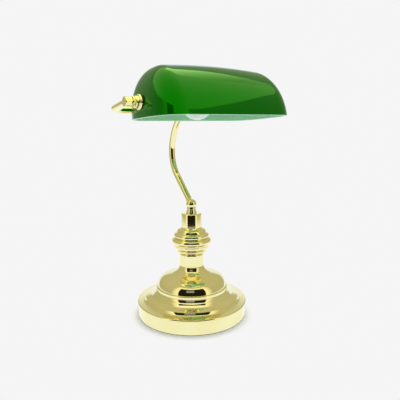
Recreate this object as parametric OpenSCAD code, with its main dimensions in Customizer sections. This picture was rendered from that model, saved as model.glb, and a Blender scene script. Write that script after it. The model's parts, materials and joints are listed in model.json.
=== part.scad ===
// Bankers lamp: a spun brass foot and column, a bent arm on a ball knuckle,
// a bent yoke, and a green cased-glass shade that tilts on two hollow nipples.
// Millimetres. +Z is up, the foot's underside is at zero and its axis is the Z axis.
// The shade reaches forward along -Y, and its long side lies along X.

/* [Foot] */
// Radius of the foot at its upright band
foot_r = 85; // [75:1:95]
// Height of the top edge of the upright band
band_h = 20.5; // [17:0.5:24]
// Height of the crease between the two rounds of the flange
crease_h = 30.9; // [28:0.1:34]
// Radius of the crease between the two rounds of the flange
crease_r = 71.4; // [68:0.2:75]
// How far the flange's rounded edge stands out over the band
flange_lip = 1.6; // [0.8:0.1:2.2]
// Radius of the upright ring at the foot of the dome
dome_ring_r = 56.6; // [50:0.2:62]
// Height of the underside of that ring
dome_ring_h = 42.3; // [40:0.1:46]
// Height of the upright ring
dome_ring_t = 4.9; // [3:0.1:7]
// Rise of the dome's foot, shoulders and neck above its ring
dome_rise = 31.6; // [28:0.2:38]
// Radius of the dome's shoulder, where its full round ends
shoulder_r = 42.8; // [40:0.2:45]
// Rise of that shoulder above the ring
shoulder_rise = 16.3; // [14:0.1:18]
// Radius where the hollow neck under the sleeve starts
neck_foot_r = 30.6; // [27:0.2:34]
// Rise of that place above the ring
neck_rise = 20.3; // [19:0.1:22]
// Thickness of the spun brass sheet
sheet_t = 1.2; // [0.8:0.1:1.6]
// Thickness of the felt under the foot
felt_t = 1.8; // [1:0.1:3]
// Thickness of the web of the iron weight
weight_web_t = 6.5; // [4:0.5:10]
// Height of the hub of the iron weight
weight_hub_h = 22; // [16:1:28]
// Bore of the cord grommet
cord_bore = 6.6; // [5:0.2:7]

/* [Column] */
// Radius of the plain lower sleeve
sleeve_r = 19.3; // [17:0.1:22]
// Height of the plain lower sleeve
sleeve_h = 19.7; // [12:0.1:30]
// Radius of the mouth of the ringed cup
cup_r = 28.4; // [26:0.1:29]
// Height of the ringed cup
cup_h = 15.7; // [14:0.1:18]
// Radius of the widest bead of the cap
bead_r = 31.4; // [30:0.1:33]
// Height of the beaded part of the cap
beads_h = 26.2; // [23:0.1:30]
// Radius of the plain upper cylinder
cap_r = 16.1; // [15:0.1:18]
// Height of the plain upper cylinder
cap_h = 22.6; // [18:0.1:34]
// Height of the tapered neck collar
collar_h = 6.5; // [4:0.1:10]
// Outer diameter of the hollow threaded rod and of every threaded nipple
rod_d = 10; // [9:0.2:10.4]
// Bore of the hollow rod and nipples, for the leads
rod_bore = 7; // [5:0.2:7.6]

/* [Knuckle] */
// Radius of the ball
ball_r = 8.4; // [8.2:0.1:9]
// Diameter of the hinge screw
hinge_d = 4; // [3:0.1:4.4]
// Thickness of the tongue between the cheeks
tongue_t = 5.6; // [4.5:0.1:6]
// Lean of the arm behind the vertical where it leaves the ball
arm_lean = 45; // [42:0.5:48]
// Swing of the arm each way from rest
arm_swing = 25; // [10:1:28]

/* [Arm and yoke] */
// Outer diameter of the bent tubes
tube_d = 10; // [9.6:0.1:10.6]
// Wall of the bent tubes
tube_wall = 1; // [0.8:0.1:1.4]
// Centre-line radius of the lower bend of the arm
bend_low_r = 54; // [45:1:60]
// Lean of the arm forward of the vertical where the upper bend starts
bend_mid_lean = 15; // [10:1:20]
// Lean of the arm forward of the vertical at the tee
bend_top_lean = 52; // [46:1:58]
// Height of the shade's pivots above the ball
pivot_rise = 150.8; // [145:0.2:160]
// Distance of the shade's pivots in front of the column's axis
pivot_reach = 47.5; // [42:0.5:55]
// Distance of the yoke's rail behind the pivots
rail_reach = 65; // [64:0.5:70]
// Drop of the yoke's rail below the pivots
rail_drop = 8.6; // [4:0.2:14]
// Centre-line radius of the yoke's corners
yoke_bend_r = 18; // [14:0.5:24]
// Inward lean of the yoke's sides
yoke_toe = 6; // [0:0.5:9]
// Outer radius of the tee on the rail
tee_r = 6.9; // [6.4:0.1:7.2]

/* [Pivots] */
// Radius of the large brass washer on the glass
washer_r = 10.2; // [9.8:0.1:12]
// Thickness of the large brass washer
washer_t = 2.7; // [1.5:0.1:3.5]
// Radius of the spacer bush
bush_r = 8; // [7:0.1:9]
// Length of the spacer bush
bush_l = 3.8; // [2:0.1:6]
// Radius of the round lock nut
lock_r = 6.9; // [6.4:0.1:8]
// Length of the round lock nut
lock_l = 2.8; // [2:0.1:5]
// Bare length of nipple between the lock nut and the end block
neck_l = 1.4; // [0.6:0.1:3]
// Radius of the end block
block_r = 6.6; // [6.4:0.1:8]
// Length of the end block
block_l = 9.6; // [8.5:0.1:13]

/* [Lampholder and bulb] */
// Radius of the lampholder
holder_r = 13.6; // [12.8:0.1:15]
// Length of the lampholder's body
holder_l = 32; // [30:0.5:36]
// Length of the lampholder's end cap
holder_cap_l = 12; // [10:0.5:16]
// Diameter of the bulb's ball
bulb_d = 45; // [43:0.5:46]
// Overall length of the bulb
bulb_l = 78; // [76:0.5:82]
// Diameter of the bulb's screw cap
screw_d = 14; // [13.6:0.1:14.4]

/* [Shade] */
// Length of the shade at its rim
shade_l = 217.7; // [205:0.5:230]
// Width of the shade at its rim
shade_w = 116.9; // [112:0.5:120]
// Height of the shade at its middle
shade_h = 71.4; // [68:0.2:76]
// Length of each rounded end
shade_end = 35.4; // [33:0.2:40]
// Squareness of the ends seen from above, where 2 is an ellipse
shade_plan_n = 2.64; // [2.3:0.02:3]
// Squareness of the side slope, where 2 is an ellipse
shade_rise_n = 2.11; // [2:0.01:2.3]
// Backward shift of the crest
crest_shift = 9.6; // [6:0.2:12]
// Drop of the crest towards the ends, as a share of the height
crown = 0.079; // [0.04:0.005:0.1]
// Thickness of the cased glass
glass_t = 3.8; // [3:0.1:4.5]
// Height of the shade's rim below the pivots
rim_drop = 19.95; // [17:0.1:22]
// Distance of the shade's middle in front of the pivots
shade_reach = 6.16; // [4:0.1:8]
// Tilt of the rim at rest, front edge up
shade_tilt = 3.83; // [0:0.1:8]

/* [Hidden] */

brass = [0.83, 0.74, 0.36];
steel = [0.66, 0.67, 0.68];
iron = [0.25, 0.25, 0.26];
felt = [0.08, 0.09, 0.08];
rubber = [0.1, 0.1, 0.1];
ivory = [0.9, 0.88, 0.8];
ceramic = [0.93, 0.93, 0.9];
opal = [0.95, 0.95, 0.93];
shade_green = [0.02, 0.4, 0.05];

$fn = 96;
eps = 0.01;
far = 60;
// How far a bend laps into a straight, and how much thinner it is there
bend_lap = 0.5;
bend_step = 0.02;
// Radial clearance of a shaft that turns in a bore
run_gap = 0.06;
// Clearance between faces that slide past each other
slip_gap = 0.3;
rod_r = rod_d / 2;
tube_r = tube_d / 2;
tube_bore_r = tube_r - tube_wall;

// Heights up the column
shell_foot_z = felt_t - 0.8;
dome_z = dome_ring_h + dome_ring_t;
sleeve_z = dome_z + dome_rise;
cup_z = sleeve_z + sleeve_h;
cap_z = cup_z + cup_h;
drum_z = cap_z + beads_h;
collar_z = drum_z + cap_h;
collar_top_z = collar_z + collar_h;
ring_h = 3.3;
ball_sink = 1.4;
ball_z = collar_top_z + ball_r - ball_sink;

// Nuts and washer under the weight
nut_flats = 14;
nut_h = 4;
nut_z = felt_t + 2.4;
foot_washer_r = 10;
foot_washer_t = 1.2;
foot_washer_z = nut_z + nut_h;
weight_seat_z = foot_washer_z + foot_washer_t;
rod_foot_z = nut_z - 1.4;
coupling_h = 13;
coupling_z = collar_z - sheet_t - coupling_h - 1;
rod_top_z = coupling_z + coupling_h / 2 - 0.5;
stem_foot_z = coupling_z + coupling_h / 2 + 0.5;

// Cord inlet through the band at the back
inlet_z = band_h * 0.54;
inlet_hole_r = cord_bore / 2 + 1.7;

// Ball, tongue and slot
hinge_r = hinge_d / 2;
tongue_r = ball_r - 2.4;
slot_r = tongue_r + 0.4;
slot_t = tongue_t + 2 * slip_gap;
tongue_neck = 5;
socket_d0 = ball_r + 0.4;
socket_d1 = socket_d0 + 1.2;
spigot_l = 9;
head_r = hinge_r + 1.3;
head_t = 2.1;
head_x = slot_t / 2 + 1.6;
screw_tip_x = slot_t / 2 + 4;

// Pivot axis and rail
pivot_y = -pivot_reach;
pivot_z = ball_z + pivot_rise;
rail_y = pivot_y + rail_reach;
rail_z = pivot_z - rail_drop;
yoke_slope = atan2(rail_drop, rail_reach);
yoke_depth = norm([rail_drop, rail_reach]);
tee_half = 11;
tee_socket = 7;
boss_r = tee_r - 0.4;
boss_l = 14;
boss_socket = 8;

// Arm: a straight, two bends with a short straight between them, and a straight end. The
// first straight and the upper bend's radius follow from where the tee has to be.
arm_end = boss_l;
arm_mid = 3;
turn_low = arm_lean + bend_mid_lean;
turn_top = bend_top_lean - bend_mid_lean;
need_y = rail_y - bend_low_r * (cos(bend_mid_lean) - cos(arm_lean))
    + arm_mid * sin(bend_mid_lean) + arm_end * sin(bend_top_lean);
need_z = rail_z - ball_z - bend_low_r * (sin(arm_lean) + sin(bend_mid_lean))
    - arm_mid * cos(bend_mid_lean) - arm_end * cos(bend_top_lean);
top_y = cos(bend_top_lean) - cos(bend_mid_lean);
top_z = sin(bend_top_lean) - sin(bend_mid_lean);
arm_det = sin(arm_lean) * top_z - cos(arm_lean) * top_y;
arm_straight = (need_y * top_z - need_z * top_y) / arm_det;
bend_top_r = (sin(arm_lean) * need_z - cos(arm_lean) * need_y) / arm_det;

// Shade: the pivot in the shade's own frame, and the glass there
shade_mid = shade_l / 2 - shade_end;
function crown_at(x) = 1 - crown * pow(2 * x / shade_l, 2);
pivot_in_y = shade_reach * cos(shade_tilt) - rim_drop * sin(shade_tilt);
pivot_in_z = shade_reach * sin(shade_tilt) + rim_drop * cos(shade_tilt);
first_k = pivot_in_z / (shade_h * (1 - crown));
first_x = shade_mid + shade_end * pow(1 - pow(first_k, shade_rise_n), 1 / shade_rise_n);
crown_end = crown_at(first_x);
pivot_rise_k = pivot_in_z / (shade_h * crown_end);
pivot_fall = 1 - pow(pivot_rise_k, shade_rise_n);
glass_out_x = shade_mid + shade_end * pow(pivot_fall, 1 / shade_rise_n);
glass_in_x = glass_out_x - glass_t;
glass_slope = shade_end * pow(pivot_rise_k, shade_rise_n - 1)
    * pow(pivot_fall, 1 / shade_rise_n - 1) / (shade_h * crown_end);
glass_lean = atan(glass_slope);
glass_hole_r = rod_r + 1.3;
bush_sleeve_r = glass_hole_r - 0.2;
seal_r = washer_r - 0.8;
seal_edge = 0.4;

// Pivot stack, outward from the glass, as distances from the middle of the lamp
washer_x = glass_out_x + glass_slope * seal_r + seal_edge;
bush_x = washer_x + washer_t + slip_gap;
lock_x = bush_x + bush_l;
neck_x = lock_x + lock_l;
block_x = neck_x + neck_l;
yoke_half = block_x + block_l / 2;
nipple_out_x = block_x + block_l - 2.4;

// Pivot stack, inward from the glass
inner_seal_r = seal_r - 0.8;
inner_bulge = 0.45;
inner_seal_x = glass_in_x - inner_bulge - glass_slope * inner_seal_r - seal_edge;
inner_washer_t = 1.5;
inner_washer_x = inner_seal_x - inner_washer_t;
inner_nut_t = 3.6;
inner_nut_x = inner_washer_x - slip_gap - inner_nut_t;
nipple_in_x = inner_nut_x - 4;

// Lampholder and bulb, along the pivot axis from the left
holder_cap_x = -inner_nut_x;
holder_x = holder_cap_x + holder_cap_l;
holder_mouth_x = holder_x + holder_l;
core_l = 6.5;
contact_x = holder_x + core_l;
contact_t = 1.3;
bulb_foot_x = contact_x + contact_t;
bulb_tip_x = bulb_foot_x + bulb_l;
bulb_r = bulb_d / 2;
bulb_mid_x = bulb_tip_x - bulb_r;
screw_r = screw_d / 2;
screw_l = 24;
screw_foot = 2.2;
thread_wall = 0.7;
thread_gap = 0.15;

// Points on the arc from a to b that bulges to the left of that line by s
function arc_points(a, b, s, n) =
    let (c = norm(b - a), r = (c * c / 4 + s * s) / (2 * abs(s)), half = asin(c / 2 / r),
         u = (b - a) / c, w = [-u[1], u[0]] * sign(s), m = (a + b) / 2 - w * (r - abs(s)))
    [for (i = [0 : n]) let (t = half * (2 * i / n - 1)) m + u * r * sin(t) + w * r * cos(t)];

// A sheet of thickness t on the left-hand side of an open path
function seg_normal(p, i) = let (d = p[i + 1] - p[i]) [d[1], -d[0]] / norm(d);
function mitre(p, i) =
    i == 0 ? seg_normal(p, 0)
    : i == len(p) - 1 ? seg_normal(p, i - 1)
    : let (a = seg_normal(p, i - 1), b = seg_normal(p, i)) (a + b) / (1 + a * b);
function sheet_outline(p, t) =
    concat(p, [for (i = [len(p) - 1 : -1 : 0]) p[i] - t * mitre(p, i)]);

// The flange's edge is rolled to a round nose that overhangs the band
nose_r = 1.9;
nose_mid = [foot_r + flange_lip - nose_r, band_h + 2.2];
function nose_point(a) = nose_mid + nose_r * [cos(a), sin(a)];
function but_first(p) = [for (i = [1 : len(p) - 1]) p[i]];

// The dome is bell-shaped: a full round, a flat shoulder and a hollow neck
dome_foot = [dome_ring_r - 2, dome_z];
shoulder = [shoulder_r, dome_z + shoulder_rise];
neck_foot = [neck_foot_r, dome_z + neck_rise];
dome_path = concat(
    arc_points(dome_foot, shoulder, -2.9, 12),
    but_first(arc_points(shoulder, neck_foot, -0.25, 3)),
    but_first(arc_points(neck_foot, [sleeve_r + 0.2, sleeve_z], 2.35, 10)));

// Path of the foot's outer face, from its lower edge to the rod hole
foot_path = concat(
    [[foot_r - 0.7, shell_foot_z], [foot_r, shell_foot_z + 1.2], [foot_r, band_h]],
    [for (a = [-55 : 20 : 25]) nose_point(a)],
    arc_points(nose_point(40), [crease_r, crease_h], -1.6, 10),
    arc_points([crease_r - 0.6, crease_h + 2.2], [dome_ring_r + 0.5, dome_ring_h - 0.3], -0.6, 8),
    [[dome_ring_r, dome_ring_h + 0.2], [dome_ring_r, dome_z - 0.8], [dome_ring_r - 0.8, dome_z]],
    dome_path,
    [[rod_r, sleeve_z]]);

sleeve_path = [[sleeve_r - 0.6, sleeve_z], [sleeve_r, sleeve_z + 0.6], [sleeve_r, cup_z - 0.7],
    [sleeve_r - 0.7, cup_z], [rod_r, cup_z]];

// The cup flares in a small bead, a groove and a broad ring
cup_flare = cup_r - sleeve_r;
cup_path = concat(
    [[rod_r, cup_z], [sleeve_r, cup_z]],
    arc_points([sleeve_r + 0.13 * cup_flare, cup_z + 0.06 * cup_h],
        [sleeve_r + 0.48 * cup_flare, cup_z + 0.39 * cup_h], -0.9, 6),
    [[sleeve_r + 0.46 * cup_flare, cup_z + 0.45 * cup_h]],
    arc_points([sleeve_r + 0.68 * cup_flare, cup_z + 0.51 * cup_h],
        [sleeve_r + 0.92 * cup_flare, cup_z + 0.88 * cup_h], -0.7, 6),
    [[sleeve_r + 0.9 * cup_flare, cup_z + 0.9 * cup_h], [cup_r, cap_z - 1], [cup_r, cap_z]]);

// The cap carries three beads, the widest lowest, under a plain drum with a rounded edge
bead_c_foot = [cup_r + 0.3, cap_z];
cap_edge = 2.4;
cap_path = concat(
    [bead_c_foot, bead_c_foot + [0, 0.6]],
    arc_points([bead_r - 1.9, cap_z + 0.06 * beads_h], [bead_r - 3.4, cap_z + 0.38 * beads_h], -2.5, 10),
    arc_points([bead_r - 4.9, cap_z + 0.41 * beads_h], [bead_r - 6.4, cap_z + 0.68 * beads_h], -2.2, 10),
    arc_points([bead_r - 8, cap_z + 0.71 * beads_h], [cap_r + 1.1, cap_z + 0.96 * beads_h], -1.6, 8),
    [[cap_r, drum_z + 0.4]],
    [for (i = [0 : 8]) let (a = 90 * i / 8)
        [cap_r - cap_edge * (1 - cos(a)), collar_z - cap_edge * (1 - sin(a))]],
    [[rod_r, collar_z]]);

// Solid ring of revolution about the column's axis
module lathe(points) {
    rotate_extrude() polygon(points);
}

// Upright tube between two heights
module pipe(z0, z1, r_out, r_in) {
    translate([0, 0, z0]) difference() {
        cylinder(h = z1 - z0, r = r_out);
        translate([0, 0, -1]) cylinder(h = z1 - z0 + 2, r = r_in);
    }
}

// Hexagon nut with a round bore, standing on a height
module hex_nut(z0, h, flats, r_in) {
    translate([0, 0, z0]) difference() {
        cylinder(h = h, d = flats / cos(30), $fn = 6);
        translate([0, 0, -1]) cylinder(h = h + 2, r = r_in);
    }
}

// Puts a shape drawn about the Z axis onto the pivot axis, with +Z turned to +X
module on_pivot() {
    translate([0, pivot_y, pivot_z]) rotate([0, 90, 0]) children();
}

// Draws a right-hand piece on the right, or its mirror image on the left
module on_side(side) {
    if (side > 0) children();
    else mirror([1, 0, 0]) children();
}

// Tube axis: each entry is a straight length, then a bend's radius and angle.
// It starts at the origin along +Y and bends towards -X. A bend is a hair thinner than the
// straights, as a drawn bend is, and laps into the straight at each end.
module tube_run(path, r, i = 0) {
    length = path[i][0];
    bend_r = path[i][1];
    angle = path[i][2];
    rotate([-90, 0, 0]) cylinder(h = length, r = r);
    if (angle > 0) {
        lap = bend_lap * 180 / PI / bend_r;
        translate([-bend_r, length, 0]) {
            rotate([0, 0, -lap]) rotate_extrude(angle = angle + 2 * lap)
                translate([bend_r, 0]) circle(r - bend_step);
            rotate([0, 0, angle]) translate([bend_r, 0, 0]) tube_run(path, r, i + 1);
        }
    }
}

module hollow_run(path) {
    difference() {
        tube_run(path, tube_r);
        tube_run(path, tube_bore_r);
    }
}

// Foot

module base_shell() {
    color(brass) difference() {
        lathe(sheet_outline(foot_path, sheet_t));
        translate([0, foot_r, inlet_z]) rotate([90, 0, 0])
            cylinder(h = 10, r = inlet_hole_r, center = true);
    }
}

// Cast ring with a thin web and a hub, notched at the back for the cord
module base_weight() {
    rim_r = foot_r - sheet_t - 1.1;
    rim_in_r = rim_r - 15;
    rim_top_z = band_h - 3.4;
    hub_r = 18;
    notch_w = 2 * inlet_hole_r + 6;
    color(iron) difference() {
        lathe([[rod_r + 0.2, felt_t], [rim_r, felt_t], [rim_r, rim_top_z - 1.5],
            [rim_r - 2.5, rim_top_z], [rim_in_r, rim_top_z], [rim_in_r - 3, felt_t + weight_web_t],
            [hub_r + 2, felt_t + weight_web_t], [hub_r, weight_hub_h], [rod_r + 0.2, weight_hub_h]]);
        translate([0, 0, felt_t - 1]) cylinder(h = weight_seat_z - felt_t + 1, r = foot_washer_r + 0.4);
        translate([-notch_w / 2, hub_r - 10, felt_t - 1]) cube([notch_w, foot_r, rim_top_z + 4]);
    }
}

module felt_pad() {
    color(felt) cylinder(h = felt_t, r = foot_r - sheet_t - 1.1);
}

module base_nut() {
    color(steel) hex_nut(nut_z, nut_h, nut_flats, rod_r);
}

module base_washer() {
    color(steel) pipe(foot_washer_z, foot_washer_z + foot_washer_t, foot_washer_r, rod_r + 0.1);
}

// Rubber ring whose groove grips the edge of the hole in the band
module cord_grommet() {
    lip_r = inlet_hole_r + 1.5;
    lip_t = 1.5;
    wall_in = sheet_t + 0.3;
    color(rubber) translate([0, foot_r, inlet_z]) rotate([-90, 0, 0])
        rotate_extrude() polygon([[cord_bore / 2, -wall_in - lip_t], [lip_r - 0.5, -wall_in - lip_t],
            [lip_r - 0.5, -wall_in], [inlet_hole_r, -wall_in], [inlet_hole_r, 0.05], [lip_r, 0.05],
            [lip_r - 0.4, lip_t * 0.7], [lip_r - 1.2, lip_t], [cord_bore / 2, lip_t]]);
}

// Column

module threaded_rod() {
    color(steel) pipe(rod_foot_z, rod_top_z, rod_r, rod_bore / 2);
}

module column_sleeve() {
    color(brass) lathe(sheet_outline(sleeve_path, sheet_t));
}

module column_cup() {
    color(brass) lathe(sheet_outline(cup_path, sheet_t));
}

module column_cap() {
    color(brass) lathe(sheet_outline(cap_path, sheet_t));
}

module coupling_nut() {
    color(steel) hex_nut(coupling_z, coupling_h, nut_flats, rod_r);
}

module neck_collar() {
    color(brass) lathe([[rod_r, collar_z], [ball_r, collar_z], [ball_r, collar_z + 0.8],
        [6.6, collar_top_z - 0.5], [6.3, collar_top_z], [rod_r, collar_top_z]]);
}

// Knuckle

// Ball on a threaded stem, slotted from the back for the tongue
module knuckle_lower() {
    open_from = arm_lean - arm_swing - 28;
    open_to = arm_lean + arm_swing + 28;
    color(brass) difference() {
        union() {
            translate([0, 0, ball_z]) sphere(r = ball_r);
            translate([0, 0, collar_top_z]) cylinder(h = ring_h, r = 7.2);
            translate([0, 0, stem_foot_z]) cylinder(h = collar_top_z - stem_foot_z + eps, r = rod_r);
        }
        translate([0, 0, ball_z]) {
            rotate([0, 90, 0]) cylinder(h = slot_t, r = slot_r, center = true);
            rotate([90, 0, 90]) translate([0, 0, -slot_t / 2]) linear_extrude(slot_t)
                polygon(concat([[0, 0]],
                    [for (i = [0 : 8]) let (a = open_from + (open_to - open_from) * i / 8)
                        2 * ball_r * [sin(a), cos(a)]]));
            translate([-screw_tip_x, 0, 0]) rotate([0, 90, 0]) cylinder(h = far, r = hinge_r);
            translate([head_x, 0, 0]) rotate([0, 90, 0]) cylinder(h = far, r = head_r);
        }
        translate([0, 0, stem_foot_z - 1]) cylinder(h = ball_z - stem_foot_z, r = rod_bore / 2 - 0.8);
    }
}

module knuckle_screw() {
    color(brass) translate([0, 0, ball_z]) rotate([0, 90, 0]) difference() {
        union() {
            translate([0, 0, -screw_tip_x + 0.2]) cylinder(h = screw_tip_x + head_x, r = hinge_r);
            translate([0, 0, head_x]) cylinder(h = head_t, r = head_r - 0.1);
        }
        translate([-0.4, -far / 2, head_x + head_t - 0.8]) cube([0.8, far, 2]);
    }
}

// Puts a shape on the line of the arm where it leaves the ball, +Y along the arm
module on_arm() {
    translate([0, 0, ball_z]) rotate([-arm_lean, 0, 0]) rotate([90, 0, 90]) children();
}

// Tongue, neck, shoulder and the spigot that the arm tube fits over
module knuckle_upper() {
    color(brass) on_arm() difference() {
        union() {
            cylinder(h = tongue_t, r = tongue_r, center = true);
            translate([-tongue_neck / 2, 0, -tongue_t / 2]) cube([tongue_neck, socket_d0 + 0.6, tongue_t]);
            translate([0, socket_d0, 0]) rotate([-90, 0, 0]) cylinder(h = socket_d1 - socket_d0, r = tube_r);
            translate([0, socket_d1 - eps, 0]) rotate([-90, 0, 0])
                cylinder(h = spigot_l + eps, r = tube_bore_r);
        }
        cylinder(h = far, r = hinge_r + run_gap, center = true);
        translate([0, tongue_r + 1, 0]) rotate([-90, 0, 0]) cylinder(h = far, r = tube_bore_r - 1.6);
    }
}

// Arm and yoke

module arm_tube() {
    color(brass) on_arm() translate([0, socket_d1, 0])
        hollow_run([[arm_straight - socket_d1, bend_low_r, turn_low], [arm_mid, bend_top_r, turn_top],
            [boss_socket, 0, 0]]);
}

// Turned tee: two sockets for the rail and one for the arm
module yoke_tee() {
    color(brass) translate([0, rail_y, rail_z]) difference() {
        union() {
            rotate([0, 90, 0]) cylinder(h = 2 * tee_half, r = tee_r, center = true);
            rotate([bend_top_lean - 180, 0, 0]) cylinder(h = boss_l, r = boss_r);
        }
        for (s = [-1, 1]) rotate([0, 90 * s, 0])
            translate([0, 0, tee_half - tee_socket]) cylinder(h = far, r = tube_r);
        rotate([0, 90, 0]) cylinder(h = 2 * tee_half, r = tube_bore_r, center = true);
        rotate([bend_top_lean - 180, 0, 0]) {
            cylinder(h = far, r = tube_bore_r - 0.6);
            translate([0, 0, boss_l - boss_socket]) cylinder(h = far, r = tube_r);
        }
    }
}

// One side of the yoke and its half of the rail
module yoke_half_tube() {
    side = (yoke_depth - yoke_bend_r * (1 - sin(yoke_toe))) / cos(yoke_toe);
    rail = yoke_half - side * sin(yoke_toe) - yoke_bend_r * cos(yoke_toe) - tee_half + tee_socket;
    difference() {
        translate([yoke_half, pivot_y, pivot_z]) rotate([-yoke_slope, 0, 0]) rotate([0, 0, yoke_toe])
            hollow_run([[side, yoke_bend_r, 90 - yoke_toe], [rail, 0, 0]]);
        on_pivot() translate([0, 0, yoke_half - far / 2]) cylinder(h = far, r = block_r);
    }
}

// Pivots, each drawn on the right

// Way for the leads from the yoke's tube into the end block and its nipple
module lead_hole() {
    translate([yoke_half, pivot_y, pivot_z]) rotate([-yoke_slope, 0, 0]) rotate([-90, 0, yoke_toe])
        cylinder(h = far, r = tube_bore_r - 0.8);
}

// Round block on the end of the yoke, with a blind hole for the nipple and a hole for the leads
module end_block() {
    edge = 1;
    difference() {
        on_pivot() rotate_extrude() polygon(concat([[0, block_x], [block_r, block_x]],
            [for (i = [0 : 6]) let (a = 15 * i)
                [block_r - edge * (1 - cos(a)), block_x + block_l - edge * (1 - sin(a))]],
            [[0, block_x + block_l]]));
        on_pivot() translate([0, 0, block_x - 1]) cylinder(h = nipple_out_x - block_x + 1, r = rod_r);
        lead_hole();
    }
}

module nipple() {
    difference() {
        on_pivot() translate([0, 0, nipple_in_x]) cylinder(h = nipple_out_x - nipple_in_x, r = rod_r);
        on_pivot() translate([0, 0, nipple_in_x - 1])
            cylinder(h = nipple_out_x - nipple_in_x + 2, r = rod_bore / 2);
        lead_hole();
    }
}

// Round nut with a grooved edge
module lock_nut() {
    on_pivot() rotate_extrude() polygon([[rod_r, lock_x], [lock_r - 0.3, lock_x],
        [lock_r, lock_x + 0.3], [lock_r, neck_x - 0.3], [lock_r - 0.3, neck_x], [rod_r, neck_x]]);
}

module spacer_bush() {
    on_pivot() rotate_extrude() polygon([[rod_r, bush_x], [bush_r - 0.3, bush_x],
        [bush_r, bush_x + 0.3], [bush_r, lock_x - 1], [bush_r - 0.8, lock_x], [rod_r, lock_x]]);
}

// Dished washer with a raised rounded rim
module outer_washer() {
    out_x = washer_x + washer_t;
    on_pivot() rotate_extrude() polygon(concat(
        [[rod_r + slip_gap, washer_x], [washer_r - 0.4, washer_x]],
        arc_points([washer_r, washer_x + 0.4], [washer_r - 1.6, out_x - 0.5], -0.35, 5),
        [[bush_r, out_x - 0.9], [bush_r - 0.6, out_x], [rod_r + slip_gap, out_x]]));
}

// Puts a shape in the shade's tilted frame, on the pivot axis
module at_shade_pivot() {
    translate([0, pivot_y, pivot_z]) rotate([-shade_tilt, 0, 0]) children();
}

// Everything inside the plane that leans with the glass at a distance from the middle
module inside_plane(x) {
    translate([x, 0, 0]) rotate([0, -glass_lean, 0]) translate([-far, -far / 2, -far / 2])
        cube([far, far, far]);
}

// Shouldered bush through the glass: a wedge that fills up to the washer, and a sleeve
module glass_bush() {
    at_shade_pivot() difference() {
        for (step = [[seal_r, glass_out_x], [bush_sleeve_r, glass_in_x - inner_bulge]]) difference() {
            translate([shade_mid, 0, 0]) rotate([0, 90, 0]) cylinder(h = washer_x - shade_mid, r = step[0]);
            inside_plane(step[1]);
        }
        translate([shade_mid, 0, 0]) rotate([0, 90, 0]) cylinder(h = far, r = rod_r + run_gap);
    }
}

// Wedge washer between the glass and the flat inner washer
module inner_seal() {
    at_shade_pivot() difference() {
        intersection() {
            translate([inner_seal_x, 0, 0]) rotate([0, 90, 0])
                cylinder(h = glass_out_x - inner_seal_x, r = inner_seal_r);
            inside_plane(glass_in_x - inner_bulge);
        }
        translate([shade_mid, 0, 0]) rotate([0, 90, 0]) cylinder(h = far, r = rod_r + slip_gap);
    }
}

module inner_washer() {
    on_pivot() difference() {
        translate([0, 0, inner_washer_x]) cylinder(h = inner_washer_t, r = inner_seal_r);
        translate([0, 0, inner_washer_x - 1]) cylinder(h = inner_washer_t + 2, r = rod_r + slip_gap);
    }
}

module inner_nut() {
    on_pivot() hex_nut(inner_nut_x, inner_nut_t, nut_flats, rod_r);
}

// Lampholder and bulb

// Domed end cap screwed on the left nipple
module lampholder_cap() {
    lip = 3;
    color(ivory) on_pivot() rotate_extrude() polygon([[rod_r, holder_cap_x],
        [holder_r - 3, holder_cap_x], [holder_r - 0.8, holder_cap_x + 1.4],
        [holder_r, holder_cap_x + 4], [holder_r, holder_x], [holder_r - 2, holder_x],
        [holder_r - 2, holder_cap_x + 6], [rod_r, holder_cap_x + 4 + lip]]);
}

module lampholder_body() {
    wall = 1.8;
    color(ivory) on_pivot() rotate_extrude() polygon([[holder_r - wall, holder_x],
        [holder_r, holder_x], [holder_r, holder_x + 3], [holder_r - 0.6, holder_x + 3.6],
        [holder_r - 0.6, holder_mouth_x - 0.6], [holder_r - 1.2, holder_mouth_x],
        [screw_r + 2.2, holder_mouth_x], [screw_r + 2.2, holder_mouth_x - 2],
        [holder_r - wall, holder_mouth_x - 2]]);
}

module lampholder_core() {
    color(ceramic) on_pivot() difference() {
        translate([0, 0, holder_x]) cylinder(h = core_l, r = holder_r - 2);
        for (a = [0, 180]) rotate([0, 0, a]) translate([6, 0, holder_x - 1]) cylinder(h = core_l + 2, r = 1.2);
    }
}

module lampholder_contact() {
    color(brass) on_pivot() translate([-3, -2, contact_x]) cube([6, 4, contact_t]);
}

// Brass screw shell that stands on the core
module lampholder_thread() {
    shell_in = screw_r + thread_gap;
    color(brass) on_pivot() difference() {
        translate([0, 0, contact_x])
            cylinder(h = holder_mouth_x - 1 - contact_x, r = shell_in + thread_wall);
        translate([0, 0, contact_x + 0.6]) cylinder(h = far, r = shell_in);
        translate([0, 0, contact_x - 1]) cylinder(h = far, r = 4.6);
    }
}

// Screw cap with a rolled thread of round ridges and a domed end contact
module bulb_cap() {
    pitch = 2.8;
    ridges = 6;
    foot = bulb_foot_x + screw_foot;
    color(brass) on_pivot() rotate_extrude() polygon(concat(
        [[0, bulb_foot_x], [2.4, bulb_foot_x + 0.2], [3.2, bulb_foot_x + 0.9],
            [4.2, foot - 0.5], [screw_r - 1.4, foot]],
        [for (i = [0 : 4 * ridges]) let (a = 90 * i)
            [screw_r - 0.45 + 0.4 * sin(a), foot + 0.8 + pitch * i / 4]],
        [[screw_r + 0.1, bulb_foot_x + screw_l], [0, bulb_foot_x + screw_l]]));
}

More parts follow.
